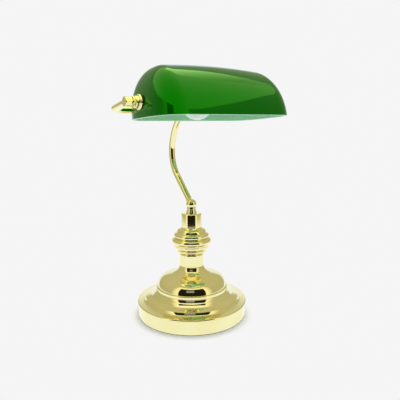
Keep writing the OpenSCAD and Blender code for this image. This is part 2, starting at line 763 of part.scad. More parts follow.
// Hollow ball with a tapering neck
module bulb_glass() {
    wall = 0.9;
    neck_r = screw_r - 0.3;
    neck_x = bulb_foot_x + screw_l;
    join = 132;
    steps = 24;
    color(opal) on_pivot() rotate_extrude() polygon(sheet_outline(concat(
        [[neck_r, neck_x], [neck_r, neck_x + 1]],
        arc_points([neck_r + 0.5, neck_x + 2],
            [bulb_r * sin(join), bulb_mid_x + bulb_r * cos(join)], 0.9, 6),
        [for (i = [1 : steps - 1]) let (a = join * (1 - i / steps))
            [bulb_r * sin(a), bulb_mid_x + bulb_r * cos(a)]],
        [[1, bulb_tip_x], [0, bulb_tip_x]]), wall));
}

// Shade

// Unit superellipse point at an angle
function super_point(a, n) =
    let (c = cos(a), s = sin(a)) [c, s] * pow(pow(abs(c), n) + pow(abs(s), n), -1 / n);

end_steps = 22;
side_steps = 10;
row_steps = 18;
rim_count = 2 * end_steps + 2 * side_steps;
crest_count = side_steps + 1;

function rounded_end(from, x) =
    [for (i = [0 : end_steps]) let (q = super_point(from + 180 * i / end_steps, shade_plan_n)) [q[0], q[1], x]];
function straight_side(from, to, y) =
    [for (i = [1 : side_steps - 1]) [0, y, from + (to - from) * i / side_steps]];

// Stations round the rim: direction across the end or side, and the middle they start from
stations = concat(rounded_end(-90, shade_mid), straight_side(shade_mid, -shade_mid, 1),
    rounded_end(90, -shade_mid), straight_side(-shade_mid, shade_mid, -1));

function shade_point(s, row, inset) =
    let (q = super_point(90 * row / row_steps, shade_rise_n),
         x = s[2] + s[0] * q[0] * (shade_end - inset))
    [x, s[1] * q[0] * (shade_w / 2 - inset) + crest_shift * q[1], q[1] * (shade_h - inset) * crown_at(x)];
function shade_skin(inset) = concat(
    [for (row = [0 : row_steps - 1]) for (s = stations) shade_point(s, row, inset)],
    [for (i = [0 : side_steps]) let (x = shade_mid * (1 - 2 * i / side_steps))
        [x, crest_shift, (shade_h - inset) * crown_at(x)]]);

// Each station's point on the crest line, where the rows close
function crest_of(i) =
    i <= end_steps ? 0
    : i < end_steps + side_steps ? i - end_steps
    : i <= 2 * end_steps + side_steps ? side_steps
    : 2 * end_steps + 2 * side_steps - i;
function skin_index(row, i) =
    row < row_steps ? row * rim_count + i % rim_count
    : row_steps * rim_count + crest_of(i % rim_count);
skin_count = row_steps * rim_count + crest_count;
function skin_faces(start, outward) =
    [for (row = [0 : row_steps - 1]) for (i = [0 : rim_count - 1])
        let (a = skin_index(row, i), b = skin_index(row + 1, i),
             c = skin_index(row + 1, i + 1), d = skin_index(row, i + 1))
        for (f = [[a, b, c], [a, c, d]])
            if (f[0] != f[1] && f[1] != f[2] && f[2] != f[0])
                outward ? [start + f[0], start + f[1], start + f[2]]
                : [start + f[2], start + f[1], start + f[0]]];
rim_faces = [for (i = [0 : rim_count - 1]) let (j = (i + 1) % rim_count)
    for (f = [[i, j, skin_count + j], [i, skin_count + j, skin_count + i]]) f];

module glass_shade() {
    color(shade_green) difference() {
        translate([0, pivot_y - shade_reach, pivot_z - rim_drop]) rotate([-shade_tilt, 0, 0])
            polyhedron(points = concat(shade_skin(0), shade_skin(glass_t)),
                faces = concat(skin_faces(0, true), skin_faces(skin_count, false), rim_faces));
        on_pivot() cylinder(h = 2 * shade_l, r = glass_hole_r, center = true);
    }
}

base_shell();
base_weight();
felt_pad();
base_nut();
base_washer();
cord_grommet();
threaded_rod();
column_sleeve();
column_cup();
column_cap();
coupling_nut();
neck_collar();
knuckle_lower();
knuckle_screw();
knuckle_upper();
arm_tube();
yoke_tee();
color(brass) on_side(-1) yoke_half_tube();  // yoke_tube_left
color(brass) on_side(1) yoke_half_tube();  // yoke_tube_right
color(brass) on_side(-1) end_block();  // end_block_left
color(brass) on_side(1) end_block();  // end_block_right
color(brass) on_side(-1) nipple();  // nipple_left
color(brass) on_side(1) nipple();  // nipple_right
color(brass) on_side(-1) lock_nut();  // lock_nut_left
color(brass) on_side(1) lock_nut();  // lock_nut_right
color(brass) on_side(-1) spacer_bush();  // spacer_bush_left
color(brass) on_side(1) spacer_bush();  // spacer_bush_right
color(brass) on_side(-1) outer_washer();  // outer_washer_left
color(brass) on_side(1) outer_washer();  // outer_washer_right
color(rubber) on_side(-1) glass_bush();  // glass_bush_left
color(rubber) on_side(1) glass_bush();  // glass_bush_right
color(rubber) on_side(-1) inner_seal();  // inner_seal_left
color(rubber) on_side(1) inner_seal();  // inner_seal_right
color(brass) on_side(-1) inner_washer();  // inner_washer_left
color(brass) on_side(1) inner_washer();  // inner_washer_right
color(steel) on_side(-1) inner_nut();  // inner_nut_left
color(steel) on_side(1) inner_nut();  // inner_nut_right
lampholder_cap();
lampholder_body();
lampholder_core();
lampholder_contact();
lampholder_thread();
bulb_cap();
bulb_glass();
glass_shade();
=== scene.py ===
# %% [markdown]
# A bankers lamp, dressed in Blender. The lamp was built as solid parts first, and those
# parts are the fixed frame here: nothing in this file moves or resizes them. Every visible
# piece that is polished or made of glass is modelled again as a fine, smooth mesh in the
# same place, because a mirror shows every flat facet. Sizes are written in millimetres,
# as a brass spinner would read them off a drawing, and are scaled to metres at the end
# of each piece.

# %% Tools and the frame
import json
import math
import bmesh
import bpy
from mathutils import Matrix, Vector


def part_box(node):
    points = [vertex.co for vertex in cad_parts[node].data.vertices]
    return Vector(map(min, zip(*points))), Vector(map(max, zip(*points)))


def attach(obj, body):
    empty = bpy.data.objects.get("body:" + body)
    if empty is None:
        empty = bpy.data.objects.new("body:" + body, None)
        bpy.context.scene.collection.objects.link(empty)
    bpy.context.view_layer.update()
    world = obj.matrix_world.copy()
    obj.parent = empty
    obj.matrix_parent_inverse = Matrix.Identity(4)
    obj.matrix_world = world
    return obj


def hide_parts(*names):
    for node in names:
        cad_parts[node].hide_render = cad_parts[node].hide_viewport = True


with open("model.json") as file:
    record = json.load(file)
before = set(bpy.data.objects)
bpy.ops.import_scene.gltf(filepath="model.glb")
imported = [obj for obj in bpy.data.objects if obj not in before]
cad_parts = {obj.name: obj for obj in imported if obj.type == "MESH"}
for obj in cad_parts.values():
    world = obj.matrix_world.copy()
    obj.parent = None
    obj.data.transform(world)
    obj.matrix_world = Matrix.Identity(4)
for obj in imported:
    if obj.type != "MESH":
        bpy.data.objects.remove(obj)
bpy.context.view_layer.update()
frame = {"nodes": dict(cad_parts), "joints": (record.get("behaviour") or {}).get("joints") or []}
MM = 0.001

# %% [markdown]
# Places come from the frame wherever it can give them. The shade turns about an axis that
# the joint list holds, and the ball of the knuckle is the other joint's centre.

# %% The two joint axes
joint_at = {joint["name"]: Vector(joint["pos_m"]) / MM for joint in frame["joints"]}
BALL = joint_at["arm_tilt"]
PIVOT = joint_at["shade_tilt"]
print("ball at", tuple(BALL), "pivot axis at", tuple(PIVOT))


def low(node):
    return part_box(node)[0] / MM


def high(node):
    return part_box(node)[1] / MM


# %% [markdown]
# Most of the lamp is turned or spun: one outline sweeps round one axis. The outline is a
# list of points, and these helpers write its curves. An arc is given by its two ends and
# by how far it bulges, which is how a former for metal spinning is checked with a gauge.

# %% Curves for outlines
def arc(start, end, bulge, steps=10):
    a = Vector(start)
    b = Vector(end)
    chord = b - a
    length = chord.length
    sagitta = abs(bulge)
    radius = (length * length / 4 + sagitta * sagitta) / (2 * sagitta)
    half = math.asin(min(1, length / 2 / radius))
    along = chord / length
    out = Vector((-along.y, along.x)) * math.copysign(1, bulge)
    middle = (a + b) / 2 - out * (radius - sagitta)
    points = []
    for i in range(steps + 1):
        t = half * (2 * i / steps - 1)
        points.append(tuple(middle + along * radius * math.sin(t) + out * radius * math.cos(t)))
    return points


def rounded(points, radius, closed=False, steps=3):
    """Rounds each sharp corner, and pins the flats beside it so that they stay flat."""
    sharp = math.radians(14)
    pin = 0.12
    done = []
    count = len(points)
    for i in range(count):
        here = Vector(points[i])
        if not closed and i in (0, count - 1):
            done.append(tuple(here))
            continue
        before = Vector(points[i - 1]) - here
        after = Vector(points[(i + 1) % count]) - here
        if before.length < 1e-6 or after.length < 1e-6:
            continue
        if math.pi - before.angle(after) < sharp:
            done.append(tuple(here))
            continue
        reach = min(radius, 0.42 * before.length, 0.42 * after.length)
        start = here + before.normalized() * reach
        end = here + after.normalized() * reach
        done.append(tuple(start + before.normalized() * min(pin, 0.2 * reach)))
        for k in range(steps + 1):
            t = k / steps
            done.append(tuple(start * (1 - t) ** 2 + here * 2 * t * (1 - t) + end * t ** 2))
        done.append(tuple(end + after.normalized() * min(pin, 0.2 * reach)))
    return done


# %% [markdown]
# A finished piece is one object at the origin, with its place in its mesh, riding on the
# body that carries it and standing for the solid part it dresses. Smooth shading is kept
# off edges that are really sharp, so a turned groove stays crisp.

# %% Finishing a piece
SHARP_EDGE = math.radians(42)


def finish_mesh(bm, name):
    bmesh.ops.scale(bm, vec=(MM, MM, MM), verts=bm.verts)
    for face in bm.faces:
        face.smooth = True
    for edge in bm.edges:
        edge.smooth = len(edge.link_faces) != 2 or edge.calc_face_angle(0) < SHARP_EDGE
    mesh = bpy.data.meshes.new(name)
    bm.to_mesh(mesh)
    bm.free()
    return mesh


def piece(name, bm, body, materials, stands_for=()):
    obj = bpy.data.objects.new(name, finish_mesh(bm, name))
    bpy.context.scene.collection.objects.link(obj)
    for material in materials:
        obj.data.materials.append(material)
    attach(obj, body)
    if stands_for:
        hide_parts(*stands_for)
    print(name, "faces:", len(obj.data.polygons), "rides on", body)
    return obj


def apply_modifiers(obj):
    """Works the live modifiers into the mesh, so that what follows sees the final shape."""
    graph = bpy.context.evaluated_depsgraph_get()
    made = bpy.data.meshes.new_from_object(obj.evaluated_get(graph))
    obj.modifiers.clear()
    obj.data = made
    return obj


# %% [markdown]
# Turning: the outline's points are joined by edges, bmesh's spin sweeps them right round,
# and the seam is merged. An outline that closes on itself makes a solid ring. A piece of
# sheet has its outer face drawn, and the outline comes back along the inner face at the
# thickness of the brass. The outer corners get the small radius that polishing leaves,
# and the hidden inner ones stay as they are.

# %% Turned pieces
TURNS = 144


def turned_mesh(outline, closed=True, segments=TURNS):
    bm = bmesh.new()
    verts = [bm.verts.new((r, 0, z)) for r, z in outline]
    for a, b in zip(verts, verts[1:]):
        bm.edges.new((a, b))
    if closed:
        bm.edges.new((verts[-1], verts[0]))
    bmesh.ops.spin(bm, geom=bm.verts[:] + bm.edges[:], cent=(0, 0, 0), axis=(0, 0, 1),
                   dvec=(0, 0, 0), angle=math.tau, steps=segments, use_merge=True, use_duplicate=False)
    bmesh.ops.remove_doubles(bm, verts=bm.verts, dist=0.0005)
    loose = [e for e in bm.edges if not e.link_faces]
    bmesh.ops.delete(bm, geom=loose, context="EDGES")
    bmesh.ops.recalc_face_normals(bm, faces=bm.faces)
    return bm


def inner_face(points, thickness):
    """The inner face of a sheet whose outer face is drawn, with the wall to the left of the path."""
    inner = []
    for i, point in enumerate(points):
        sides = []
        for a, b in ((i - 1, i), (i, i + 1)):
            if a >= 0 and b < len(points):
                step = Vector(points[b]) - Vector(points[a])
                sides.append(Vector((step.y, -step.x)).normalized())
        mitre = sides[0] if len(sides) == 1 else (sides[0] + sides[1]) / (1 + sides[0].dot(sides[1]))
        place = Vector(point) - mitre * thickness
        inner.append((max(0.0, place.x), place.y))
    return inner


def spun_sheet(path, thickness, fillet, segments=TURNS):
    """A skin of sheet metal: the path is its outer face, whose corners get a fillet."""
    outline = rounded(path, fillet) + inner_face(path, thickness)[::-1]
    return turned_mesh(outline, closed=True, segments=segments)


def on_pivot_axis(bm, side):
    """Turns a piece made round Z onto the shade's axis: right is +1, and left mirrors it."""
    turn = Matrix.Rotation(math.radians(90), 4, "Y")
    bmesh.ops.transform(bm, matrix=turn, verts=bm.verts)
    if side < 0:
        bmesh.ops.scale(bm, vec=(-1, 1, 1), verts=bm.verts)
        bmesh.ops.recalc_face_normals(bm, faces=bm.faces)
    bmesh.ops.translate(bm, vec=PIVOT, verts=bm.verts)
    return bm


# %% [markdown]
# Polished and lacquered brass. The metal itself is almost a mirror, so its colour comes
# from what it reflects, tinted yellow. Two close tones of brass mix in broad soft clouds,
# and fine smudges in the lacquer change the roughness a little. A very fine bump keeps
# the reflections from being as perfect as a drawing. A painted yellow would look like
# plastic here, which is why the surface is fully metallic.

# %% Material helpers
def new_material(name):
    material = bpy.data.materials.new(name)
    material.use_nodes = True
    tree = material.node_tree
    tree.nodes.clear()
    output = tree.nodes.new("ShaderNodeOutputMaterial")
    shader = tree.nodes.new("ShaderNodeBsdfPrincipled")
    tree.links.new(shader.outputs[0], output.inputs["Surface"])
    where = tree.nodes.new("ShaderNodeTexCoord")
    return material, tree, shader, where.outputs["Object"]


def noise(tree, where, scale, detail=3.0, roughness=0.5, stretch=None):
    node = tree.nodes.new("ShaderNodeTexNoise")
    node.inputs["Scale"].default_value = scale
    node.inputs["Detail"].default_value = detail
    node.inputs["Roughness"].default_value = roughness
    source = where
    if stretch:
        mapping = tree.nodes.new("ShaderNodeMapping")
        mapping.inputs["Scale"].default_value = stretch
        tree.links.new(where, mapping.inputs["Vector"])
        source = mapping.outputs["Vector"]
    tree.links.new(source, node.inputs["Vector"])
    return node.outputs["Fac"]


def ramp(tree, value, stops):
    node = tree.nodes.new("ShaderNodeValToRGB")
    elements = node.color_ramp.elements
    while len(elements) < len(stops):
        elements.new(0.5)
    for element, (at, colour) in zip(elements, stops):
        element.position = at
        element.color = (*colour, 1)
    tree.links.new(value, node.inputs["Fac"])
    return node.outputs["Color"]


def spread(tree, value, low_value, high_value):
    node = tree.nodes.new("ShaderNodeMapRange")
    node.inputs["To Min"].default_value = low_value
    node.inputs["To Max"].default_value = high_value
    tree.links.new(value, node.inputs["Value"])
    return node.outputs["Result"]


def bump(tree, shader, height, strength, distance):
    node = tree.nodes.new("ShaderNodeBump")
    node.inputs["Strength"].default_value = strength
    node.inputs["Distance"].default_value = distance
    tree.links.new(height, node.inputs["Height"])
    tree.links.new(node.outputs["Normal"], shader.inputs["Normal"])


# %% Polished brass
BRASS_LIGHT = (0.93, 0.83, 0.43)
BRASS_DEEP = (0.89, 0.78, 0.37)


def polished_brass(name, roughness):
    material, tree, shader, where = new_material(name)
    clouds = noise(tree, where, 22, 2)
    tree.links.new(ramp(tree, clouds, [(0.35, BRASS_DEEP), (0.65, BRASS_LIGHT)]), shader.inputs["Base Color"])
    smudges = noise(tree, where, 90, 4, 0.6)
    tree.links.new(spread(tree, smudges, roughness * 0.7, roughness * 1.5), shader.inputs["Roughness"])
    shader.inputs["Metallic"].default_value = 1.0
    lines = noise(tree, where, 260, 2, 0.5, (1, 1, 6))
    bump(tree, shader, lines, 0.05, 0.0002)
    return material


brass = polished_brass("polished_brass", 0.045)
print("brass made with", len(brass.node_tree.nodes), "nodes")

# %% [markdown]
# The hardware that nobody polishes: zinc-plated steel nuts and rod, rough cast iron in
# the foot, black rubber, felt, and the moulded and ceramic parts of the lampholder. Each
# has its own grain at its real scale.

# %% Steel, iron, rubber, felt and mouldings
def plain_finish(name, dark, light, rough_low, rough_high, grain, depth, metallic=0.0, stretch=None):
    material, tree, shader, where = new_material(name)
    tone = noise(tree, where, grain * 0.3, 3, 0.55, stretch)
    tree.links.new(ramp(tree, tone, [(0.3, dark), (0.7, light)]), shader.inputs["Base Color"])
    fine = noise(tree, where, grain, 4, 0.6, stretch)
    tree.links.new(spread(tree, fine, rough_low, rough_high), shader.inputs["Roughness"])
    shader.inputs["Metallic"].default_value = metallic
    bump(tree, shader, fine, 0.4, depth)
    return material


steel = plain_finish("zinc_plated_steel", (0.42, 0.43, 0.45), (0.56, 0.57, 0.58), 0.25, 0.4, 900, 0.00005, 1.0)
iron = plain_finish("rough_cast_iron", (0.03, 0.03, 0.032), (0.07, 0.068, 0.066), 0.6, 0.85, 700, 0.0006, 0.6)
rubber = plain_finish("black_rubber", (0.012, 0.012, 0.012), (0.022, 0.022, 0.021), 0.45, 0.65, 1400, 0.00008)
felt = plain_finish("felt", (0.012, 0.016, 0.013), (0.03, 0.036, 0.03), 0.9, 1.0, 1800, 0.0005)
moulding = plain_finish("cream_moulding", (0.66, 0.63, 0.52), (0.7, 0.67, 0.56), 0.3, 0.42, 800, 0.00003)
ceramic = plain_finish("glazed_ceramic", (0.78, 0.78, 0.74), (0.82, 0.82, 0.79), 0.12, 0.2, 400, 0.00004)

# %% [markdown]
# The shade is cased glass: a green skin over a white one. Outside it is deep green and
# glossy. The light that gets into the green layer comes back greener, which a tint on
# the reflection seen straight on gives, while reflections at a glancing angle stay pale.
# Inside, the white layer is a soft satin. Its colour is darkened and tinted green, which is painted shade and painted
# green light coming through the skin.

# %% Glass finishes
def green_glass():
    material, tree, shader, where = new_material("green_cased_glass")
    depth = noise(tree, where, 9, 2, 0.5, (0.6, 1, 1))
    tree.links.new(ramp(tree, depth, [(0.3, (0.0006, 0.07, 0.0006)), (0.75, (0.001, 0.086, 0.001))]),
                   shader.inputs["Base Color"])
    ripple = noise(tree, where, 16, 1)
    shader.inputs["Roughness"].default_value = 0.06
    shader.inputs["IOR"].default_value = 1.52
    shader.inputs["Specular IOR Level"].default_value = 1.0
    shader.inputs["Specular Tint"].default_value = (0.02, 1.0, 0.0, 1)
    bump(tree, shader, ripple, 0.25, 0.0006)
    return material


def white_layer():
    material, tree, shader, where = new_material("opal_white_layer_painted_shade")
    cloud = noise(tree, where, 14, 2)
    # The white is darkened and tinted green here: painted shade under the rim and painted green light through the skin.
    tree.links.new(ramp(tree, cloud, [(0.3, (0.36, 0.68, 0.43)), (0.7, (0.42, 0.74, 0.48))]),
                   shader.inputs["Base Color"])
    grain = noise(tree, where, 500, 2)
    tree.links.new(spread(tree, grain, 0.22, 0.34), shader.inputs["Roughness"])
    return material


def opal_bulb():
    material, tree, shader, where = new_material("opal_bulb_glass_painted_shade")
    cloud = noise(tree, where, 40, 2)
    # The white bulb is darkened and tinted green here: painted shade and painted green light from the shade around it.
    tree.links.new(ramp(tree, cloud, [(0.3, (0.70, 0.78, 0.72)), (0.7, (0.76, 0.83, 0.77))]),
                   shader.inputs["Base Color"])
    shader.inputs["Roughness"].default_value = 0.18
    shader.inputs["Subsurface Weight"].default_value = 0.25
    shader.inputs["Subsurface Scale"].default_value = 0.004
    return material


green = green_glass()
white = white_layer()
opal = opal_bulb()

# %% [markdown]
# The foot is one sheet of brass, spun over a former: an upright band, a flange whose
# rounded edge overhangs it, two coves with a ledge under each, a narrow upright ring and a
# bell-shaped dome with full shoulders and a short hollow neck. Its outer face is drawn
# once, and the lower edge is rolled in a little so that it can't scratch a desk. The coves
# were read from the order of the reflections: seen from above, a hollow shows the dark
# opening at its top and the gold of the dome on its ledge, and a round shows them reversed.

# %% The foot
SHEET = 1.2
FOOT_R = 85.0
BAND_TOP = 20.5
NOSE_R = 1.9
NOSE_AT = Vector((FOOT_R - 0.3, BAND_TOP + 2.2))
OUTER_LEDGE = (77.2, 25.0)
OUTER_COVE = (75.1, 26.1)
STEP = (73.0, 29.6)
INNER_LEDGE = (65.4, 31.6)
INNER_COVE = (62.7, 33.7)
INNER_WAIST = (60.0, 37.3)
RING_R = 56.6
RING_Z = 42.3
DOME_Z = 47.2
SHOULDER_AT = (42.8, DOME_Z + 16.3)
NECK_AT = (30.6, DOME_Z + 20.3)
SLEEVE_Z = high("base_shell").z
SLEEVE_R = high("column_sleeve").x
ROD_R = high("threaded_rod").x
FOOT_LOW = low("base_shell").z


def nose_point(degrees):
    a = math.radians(degrees)
    return tuple(NOSE_AT + NOSE_R * Vector((math.cos(a), math.sin(a))))


foot_outline = (
    [(FOOT_R - 0.7, FOOT_LOW), (FOOT_R, FOOT_LOW + 1.2), (FOOT_R, BAND_TOP)]
    + [nose_point(degrees) for degrees in range(-55, 85, 10)]
    + arc(OUTER_LEDGE, OUTER_COVE, 0.25, 10)
    + arc(OUTER_COVE, STEP, 0.13, 8)[1:]
    + [(STEP[0] - 0.4, STEP[1] + 0.2)]
    + arc(INNER_LEDGE, INNER_COVE, 0.28, 10)
    + arc(INNER_COVE, INNER_WAIST, 0.12, 6)[1:]
    + arc(INNER_WAIST, (RING_R + 0.5, RING_Z - 0.3), 0.25, 10)[1:]
    + [(RING_R, RING_Z + 0.2), (RING_R, DOME_Z - 0.8), (RING_R - 0.8, DOME_Z)]
    + arc((RING_R - 2, DOME_Z), SHOULDER_AT, -2.9, 24)
    + arc(SHOULDER_AT, NECK_AT, -0.25, 8)[1:]
    + arc(NECK_AT, (SLEEVE_R + 0.2, SLEEVE_Z), 2.35, 20)[1:]
    + [(ROD_R, SLEEVE_Z)])
foot = piece("foot_spinning", spun_sheet(foot_outline, SHEET, 0.8, 180), "stand",
             [brass], ["base_shell"])

# %% [markdown]
# The cord comes in through a hole at the back of the band. A rubber grommet lines it,
# with a lip on each side of the sheet. The hole is cut with a Boolean, which is then
# worked into the mesh.

# %% The cord's hole and its grommet
INLET = (low("cord_grommet") + high("cord_grommet")) / 2
GROMMET_LIP = (high("cord_grommet").x - low("cord_grommet").x) / 2
CORD_BORE = 3.3
HOLE_R = 5.0


def cut(obj, cutter_bm):
    """Cuts a shape out of a piece and throws the cutter away."""
    cutter = bpy.data.objects.new("cutter", finish_mesh(cutter_bm, "cutter"))
    bpy.context.scene.collection.objects.link(cutter)
    boolean = obj.modifiers.new("Hole", "BOOLEAN")
    boolean.operation = "DIFFERENCE"
    boolean.solver = "EXACT"
    boolean.object = cutter
    bpy.context.view_layer.update()
    apply_modifiers(obj)
    bpy.data.objects.remove(cutter)


def rod_shape(radius, length, segments=64):
    bm = bmesh.new()
    bmesh.ops.create_cone(bm, cap_ends=True, segments=segments, radius1=radius, radius2=radius, depth=length)
    return bm


hole = rod_shape(HOLE_R, 12)
bmesh.ops.rotate(hole, matrix=Matrix.Rotation(math.radians(90), 3, "X"), verts=hole.verts)
bmesh.ops.translate(hole, vec=(0, FOOT_R - 1, INLET.z), verts=hole.verts)
cut(foot, hole)

lip_y = high("cord_grommet").y - FOOT_R
inner_y = low("cord_grommet").y - FOOT_R
grommet_outline = rounded(
    [(CORD_BORE, inner_y), (GROMMET_LIP - 0.5, inner_y), (GROMMET_LIP - 0.5, inner_y + 1.5), (HOLE_R, inner_y + 1.5),
     (HOLE_R, 0.05), (GROMMET_LIP, 0.05), (GROMMET_LIP - 0.3, lip_y * 0.7), (GROMMET_LIP - 1.2, lip_y),
     (CORD_BORE, lip_y)], 0.35, closed=True)
grommet = turned_mesh(grommet_outline, segments=64)
bmesh.ops.rotate(grommet, matrix=Matrix.Rotation(math.radians(-90), 3, "X"), verts=grommet.verts)
bmesh.ops.translate(grommet, vec=(0, FOOT_R, INLET.z), verts=grommet.verts)
bmesh.ops.recalc_face_normals(grommet, faces=grommet.faces)
piece("inlet_grommet", grommet, "stand", [rubber], ["cord_grommet"])

# %% [markdown]
# The column is three spun shells and a turned collar, threaded like beads on the hollow
# rod and clamped by it. The plain sleeve comes first, then a cup with two rings, then
# the cap with three beads under a plain cylinder.

# %% The column
CUP_Z = high("column_sleeve").z
CUP_R = high("column_cup").x
CAP_Z = high("column_cup").z
BEAD_R = high("column_cap").x
CAP_TOP = high("column_cap").z
DRUM_R = 16.1
BEADS_H = 26.2
DRUM_Z = CAP_Z + BEADS_H

sleeve_outline = [(SLEEVE_R - 0.6, SLEEVE_Z), (SLEEVE_R, SLEEVE_Z + 0.6), (SLEEVE_R, CUP_Z - 0.7),
                  (SLEEVE_R - 0.7, CUP_Z), (ROD_R, CUP_Z)]
piece("column_plain_sleeve", spun_sheet(sleeve_outline, SHEET, 0.5), "stand",
      [brass], ["column_sleeve"])

flare = CUP_R - SLEEVE_R
cup_h = CAP_Z - CUP_Z


def cup_at(out, up):
    return (SLEEVE_R + out * flare, CUP_Z + up * cup_h)


cup_outline = (
    [(ROD_R, CUP_Z), (SLEEVE_R, CUP_Z)]
    + arc(cup_at(0.13, 0.06), cup_at(0.48, 0.39), -0.9, 10)
    + [cup_at(0.46, 0.45)]
    + arc(cup_at(0.68, 0.51), cup_at(0.92, 0.88), -0.7, 10)
    + [cup_at(0.9, 0.9), (CUP_R, CAP_Z - 1), (CUP_R, CAP_Z)])
piece("column_ringed_cup", spun_sheet(cup_outline, SHEET, 0.4), "stand",
      [brass], ["column_cup"])

SHOULDER = 2.4


def bead_at(inward, up):
    return (BEAD_R - inward, CAP_Z + up * BEADS_H)


shoulder = []
for i in range(13):
    a = math.radians(90 * i / 12)
    shoulder.append((DRUM_R - SHOULDER * (1 - math.cos(a)), CAP_TOP - SHOULDER * (1 - math.sin(a))))
cap_outline = (
    [(CUP_R + 0.3, CAP_Z), (CUP_R + 0.3, CAP_Z + 0.6)]
    + arc(bead_at(1.9, 0.06), bead_at(3.4, 0.38), -2.5, 16)
    + arc(bead_at(4.9, 0.41), bead_at(6.4, 0.68), -2.2, 16)
    + arc(bead_at(8, 0.71), (DRUM_R + 1.1, CAP_Z + 0.96 * BEADS_H), -1.6, 12)
    + [(DRUM_R, DRUM_Z + 0.4)] + shoulder + [(ROD_R, CAP_TOP)])
piece("column_beaded_cap", spun_sheet(cap_outline, SHEET, 0.5), "stand",
      [brass], ["column_cap"])

COLLAR_R = high("neck_collar").x
COLLAR_TOP = high("neck_collar").z
collar_outline = rounded([(ROD_R, CAP_TOP), (COLLAR_R, CAP_TOP), (COLLAR_R, CAP_TOP + 0.8), (6.6, COLLAR_TOP - 0.5),
                          (6.3, COLLAR_TOP), (ROD_R, COLLAR_TOP)], 0.3, closed=True)
piece("neck_taper", turned_mesh(collar_outline), "stand", [brass], ["neck_collar"])

# %% [markdown]
# The knuckle's lower half is a ball on a ring, slotted from the back so that the arm's
# tongue can swing. From the front it looks like a whole ball. It is a sphere with the
# slot cut out of it: a round pocket for the tongue, and a wedge that opens it backwards.

# %% The ball
BALL_R = 8.4
SLOT = 6.2
SLOT_R = 6.4
RING_TOP = COLLAR_TOP + 3.3
HEAD_R = 3.3
HEAD_X = 4.7


def solid_of_revolution(points, segments=64):
    return turned_mesh(points, closed=False, segments=segments)


half_circle = [(BALL_R * math.sin(math.pi * i / 48), BALL.z - BALL_R * math.cos(math.pi * i / 48)) for i in range(6, 49)]
ring_r = 7.2
seat = BALL.z - BALL_R * math.cos(math.pi * 6 / 48)
ball_outline = (
    [(0, COLLAR_TOP)] + [(ring_r - 0.3, COLLAR_TOP), (ring_r, COLLAR_TOP + 0.3), (ring_r, RING_TOP - 0.6)]
    + [(ring_r - 0.15, RING_TOP - 0.15)]
    + [p for p in half_circle if p[1] > RING_TOP])
ball = piece("knuckle_ball", solid_of_revolution(ball_outline), "stand",
             [brass], ["knuckle_lower"])

pocket = rod_shape(SLOT_R, SLOT)
bmesh.ops.rotate(pocket, matrix=Matrix.Rotation(math.radians(90), 3, "Y"), verts=pocket.verts)
bmesh.ops.translate(pocket, vec=BALL, verts=pocket.verts)
cut(ball, pocket)

OPEN_FROM = -8
OPEN_TO = 98
wedge = bmesh.new()
rim = [wedge.verts.new((-SLOT / 2, 0, 0))]
for i in range(9):
    a = math.radians(OPEN_FROM + (OPEN_TO - OPEN_FROM) * i / 8)
    rim.append(wedge.verts.new((-SLOT / 2, 2 * BALL_R * math.sin(a), 2 * BALL_R * math.cos(a))))
wedge_face = wedge.faces.new(rim)
pulled = bmesh.ops.extrude_face_region(wedge, geom=[wedge_face])
moved = [v for v in pulled["geom"] if isinstance(v, bmesh.types.BMVert)]
bmesh.ops.translate(wedge, vec=(SLOT, 0, 0), verts=moved)
bmesh.ops.recalc_face_normals(wedge, faces=wedge.faces)
bmesh.ops.translate(wedge, vec=BALL, verts=wedge.verts)
cut(ball, wedge)

screw_seat = rod_shape(HEAD_R, 20)
bmesh.ops.rotate(screw_seat, matrix=Matrix.Rotation(math.radians(90), 3, "Y"), verts=screw_seat.verts)
bmesh.ops.translate(screw_seat, vec=BALL + Vector((HEAD_X + 10, 0, 0)), verts=screw_seat.verts)
cut(ball, screw_seat)

# %% [markdown]
# The hinge screw and the tongue are flat-faced and small, so their solid parts have the
# right shape already and only take the brass.

# %% Parts that keep their solid shape
KEPT_FINISH = {
    "knuckle_screw": brass, "knuckle_upper": brass, "yoke_tee": brass, "lampholder_contact": brass,
    "lampholder_thread": brass, "base_nut": steel, "base_washer": steel, "threaded_rod": steel,
    "coupling_nut": steel, "inner_nut_left": steel, "inner_nut_right": steel, "base_weight": iron,
    "felt_pad": felt, "lampholder_core": ceramic, "glass_bush_left": rubber, "glass_bush_right": rubber,
    "inner_seal_left": rubber, "inner_seal_right": rubber,
}
for node_name, finish in KEPT_FINISH.items():
    node = frame["nodes"][node_name]
    node.data.materials.clear()
    node.data.materials.append(finish)
print("solid parts kept:", len(KEPT_FINISH))

# %% [markdown]
# The arm and the two halves of the yoke are 10 mm tube with a 1 mm wall. They are made as
# a tube bender makes them: a ring of points is pushed along a straight, then swung about
# the middle of the bend, and so on to the end.

# %% Bending a tube
TUBE_R = 5.0
TUBE_WALL = 1.0


